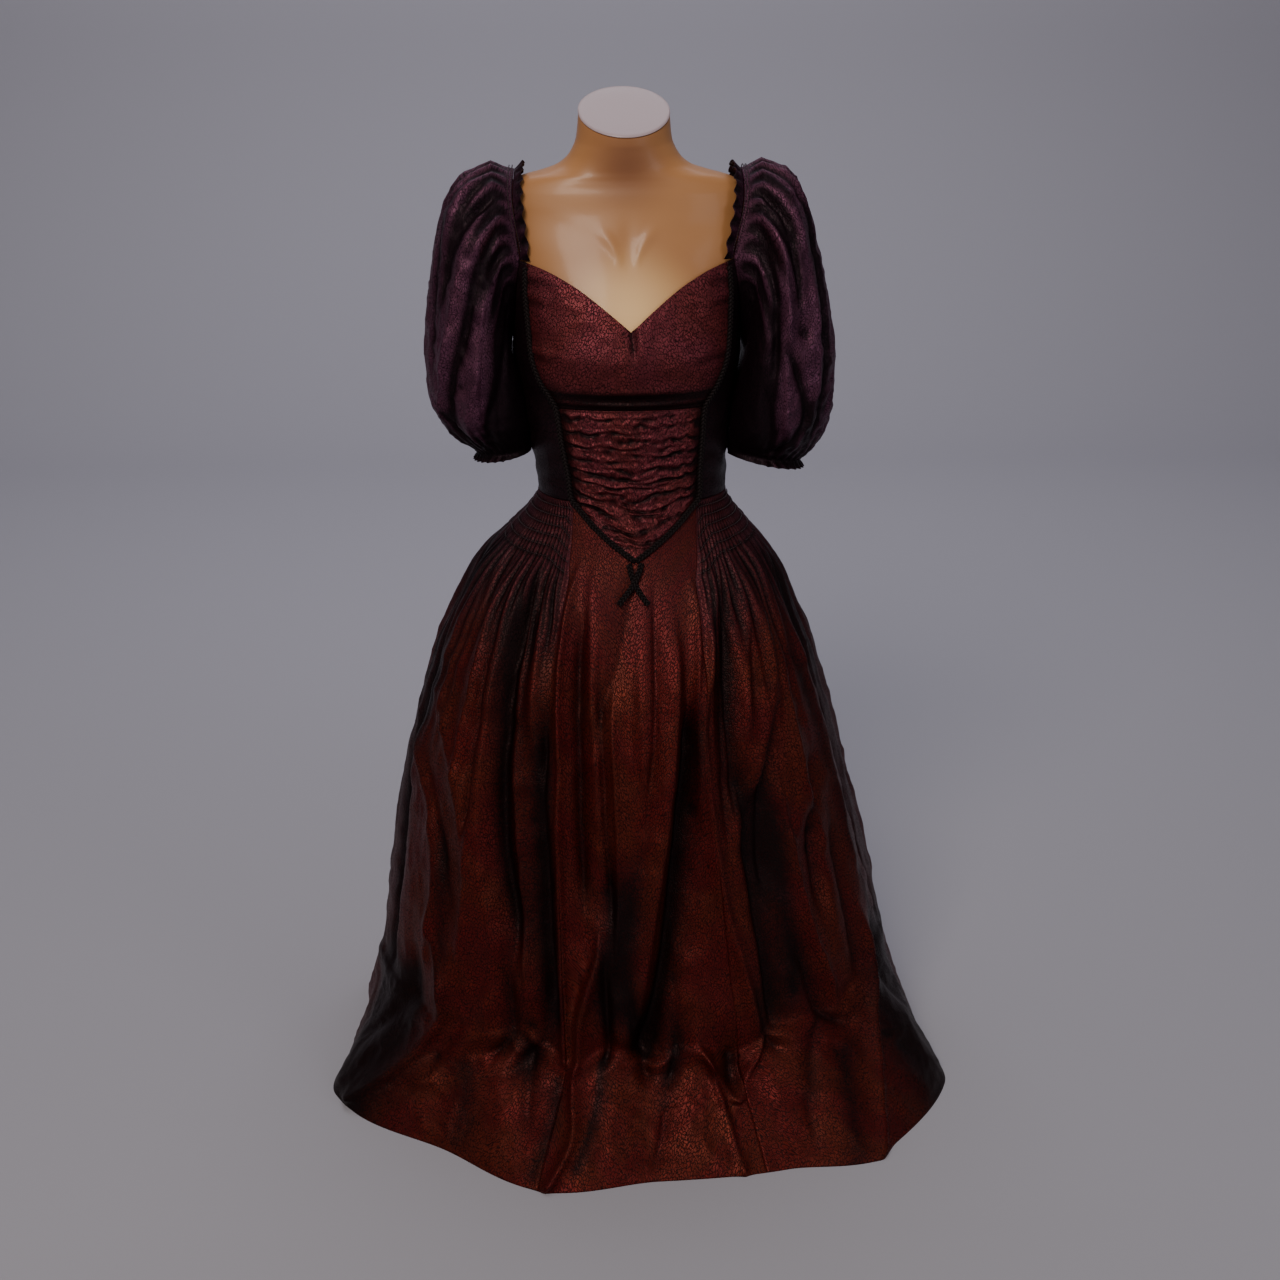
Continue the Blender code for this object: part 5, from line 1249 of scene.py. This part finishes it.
def makeForm():
    heights = np.concatenate([np.linspace(*row) for row in formLook["rows"]])
    angles = np.linspace(0, 360, formLook["columns"], endpoint=False)
    angle, height = np.meshgrid(angles, heights)
    centre, half, front, back = curvesOf(formTable(), height)
    power = gownForm["power"] + (formLook["neckPower"] - gownForm["power"]) * ramp(height, 1.090, 1.150)
    points = polarPoints(centre, angle, ringRadius(angle, half, front, back, power), height)
    # collar bones run from the notch to the shoulders, with a shallow hollow between their inner ends
    x, z = points[..., 0] + 0.004, points[..., 2]
    frontSide = ramp(-points[..., 1], 0.0, 0.03)
    relief = -formLook["notchDepth"] * np.exp(-(x / 0.011) ** 2 - ((z - 1.110) / 0.024) ** 2)
    for sign in (-1, 1):
        out = sign * x
        line = curvesOf(formLook["collarBone"], out)[0]
        strength = ramp(out, 0.006, 0.015) * (1 - 0.86 * ramp(out, 0.018, 0.044))
        strength = strength * (1 - 0.6 * ramp(out, 0.09, 0.13))
        relief += formLook["boneHeight"] * strength * np.exp(-((z - line) / formLook["boneWidth"]) ** 2)
    relief *= frontSide
    points[..., 0] += relief * np.sin(np.radians(angle))
    points[..., 1] -= relief * np.cos(np.radians(angle))
    # the neck leans back to its slanted cut
    tilt = ramp(height, 1.215, formLook["shoulders"][-1][0]) * formLook["neckSlope"]
    points[..., 2] += tilt * points[..., 1]
    top, low = points[-1:], points[:1]
    topMiddle, lowMiddle = top.mean(axis=1, keepdims=True), low.mean(axis=1, keepdims=True)
    rows = [lowMiddle + (low - lowMiddle) * share for share in (0.5, 0.97)]
    rows.append(points)
    rows += [topMiddle + (top - topMiddle) * share for share in (0.985, 0.5)]
    closeEnds(clothGrid("formTorso", np.concatenate(rows), tanPlastic, 0, around=True))


def closeEnds(thing):
    bm = bmesh.new()
    bm.from_mesh(thing.data)
    edges = [edge for edge in bm.edges if edge.is_boundary]
    bmesh.ops.holes_fill(bm, edges=edges)
    bmesh.ops.recalc_face_normals(bm, faces=bm.faces)
    bm.to_mesh(thing.data)
    bm.free()
    thing.data.set_sharp_from_angle(angle=math.radians(50))


# share of the neck's radius, growth beyond it and rise over the neck's cut
capLook = {
    "columns": 160,
    "profile": [(0.5, 0.0, 0.0003), (1, -0.0030, 0.0003), (1, -0.0006, 0.0008), (1, 0.0006, 0.0020),
                (1, 0.0004, 0.0032), (1, -0.0012, 0.0042), (1, -0.0040, 0.0044), (0.5, 0.0, 0.0044)],
}


def makeCap():
    # the pale cap that closes the neck, with a rounded rim
    height, centre, half, front, back = formLook["shoulders"][-1]
    angles = np.linspace(0, 360, capLook["columns"], endpoint=False)
    neck = ringRadius(angles, half, front, back, formLook["neckPower"])
    rows = []
    for share, growth, rise in capLook["profile"]:
        ring = polarPoints(centre, angles, neck * share + growth, height + rise)
        ring[:, 2] += formLook["neckSlope"] * ring[:, 1]
        rows.append(ring)
    closeEnds(clothGrid("neckCap", np.array(rows), palePlastic, 0, around=True))


# radius and height of the turned profiles
standLook = {
    "columns": 96,
    "standBase": [(0.060, 0.0), (0.148, 0.0), (0.150, 0.0015), (0.150, 0.0050), (0.1485, 0.0075),
                  (0.145, 0.0090), (0.120, 0.0105), (0.0825, 0.0130), (0.050, 0.0150), (0.030, 0.0175),
                  (0.026, 0.0200), (0.0225, 0.0300), (0.0205, 0.0340), (0.0140, 0.0340)],
    "standPole": [(0.008, 0.0343), (0.0120, 0.0343), (0.0125, 0.0350), (0.0125, 0.2990),
                  (0.0125, 0.5590), (0.0120, 0.5597), (0.008, 0.5597)],
}


def makeStand(name):
    # plain round base or pole, out of sight under the skirt
    angles = np.linspace(0, 360, standLook["columns"], endpoint=False)
    rows = [polarPoints(0.0, angles, radius + 0 * angles, height) for radius, height in standLook[name]]
    closeEnds(clothGrid(name, np.array(rows), greySteel, 0, around=True))


makeForm()
makeCap()
makeStand("standBase")
makeStand("standPole")
print("stage 7: form and stand made")


print("stage 8")


# floor, light and camera

studioLook = {
    "floor": "#adabb1",
    "cameraHeight": 1.45,
    "cameraDistance": 2.5,
    "cameraAzimuth": -3.0,
    "cameraPitch": 19.46,
    "lens": 54.6,
    "shift": 0.0094,
    "air": "#b8b6bd",
    "airStrength": 0.32,
    # name, place, target, size, watts, colour
    "lights": [
        ("keySoftbox", (-0.9, -2.6, 3.0), (0, 0, 0.75), (1.2, 1.2), 60, "#fff4ea"),
        ("fillSoftbox", (2.0, -2.4, 1.6), (0, 0, 0.7), (1.0, 1.6), 10, "#f3f4ff"),
        ("topSoftbox", (0, 0.9, 3.4), (0, 0, 0.4), (2.4, 2.4), 22, "#f4f4ff"),
        ("wallSoftbox", (0, 1.9, 3.6), (0, 4.6, 0.9), (3.5, 0.6), 55, "#f0f0ff"),
    ],
}


def makeStudio():
    # floor that curves up into the wall behind
    width, front, turnAt, radius, top = 9.0, -4.5, 3.2, 1.2, 5.0
    profile = [(front, 0.0), (turnAt, 0.0)]
    for i in range(1, 17):
        a = math.radians(90 * i / 16)
        profile.append((turnAt + radius * math.sin(a), radius - radius * math.cos(a)))
    profile.append((turnAt + radius, top))
    points = [(x, y, z) for y, z in profile for x in (-width, width)]
    faces = [(2 * i, 2 * i + 1, 2 * i + 3, 2 * i + 2) for i in range(len(profile) - 1)]
    mesh = bpy.data.meshes.new("studioFloor")
    mesh.from_pydata(points, [], faces)
    mesh.shade_smooth()
    # Matt wall paint on a seamless cove
    material, _, shader = newFinish("paintedStudioCove")
    setShader(shader, {"Base Color": hexColour(studioLook["floor"]), "Roughness": 0.75})
    mesh.materials.append(material)
    floor = addObject("studioFloor", mesh)


def areaLight(name, place, target, size, power, colour):
    data = bpy.data.lights.new(name, "AREA")
    data.shape = "RECTANGLE"
    data.size, data.size_y = size
    data.energy = power
    data.color = hexColour(colour)[:3]
    lamp = addObject(name, data)
    lamp.location = place
    lamp.rotation_euler = (Vector(target) - Vector(place)).to_track_quat("-Z", "Y").to_euler()


def makeLights():
    for light in studioLook["lights"]:
        areaLight(*light)
    world = bpy.data.worlds.new("studioAir")
    world.use_nodes = True
    setShader(world.node_tree.nodes["Background"],
              {"Color": hexColour(studioLook["air"]), "Strength": studioLook["airStrength"]})
    bpy.context.scene.world = world


def makeCamera():
    look = studioLook
    turn, pitch = math.radians(look["cameraAzimuth"]), math.radians(look["cameraPitch"])
    data = bpy.data.cameras.new("photoCamera")
    data.sensor_width = 36
    data.lens = look["lens"]
    data.shift_x = look["shift"]
    camera = addObject("photoCamera", data)
    camera.location = (math.sin(turn) * look["cameraDistance"], -math.cos(turn) * look["cameraDistance"],
                       look["cameraHeight"])
    forward = Vector((-math.sin(turn) * math.cos(pitch), math.cos(turn) * math.cos(pitch), -math.sin(pitch)))
    camera.rotation_euler = forward.to_track_quat("-Z", "Y").to_euler()
    bpy.context.scene.camera = camera


makeStudio()
makeLights()
makeCamera()
print("stage 9: studio made")
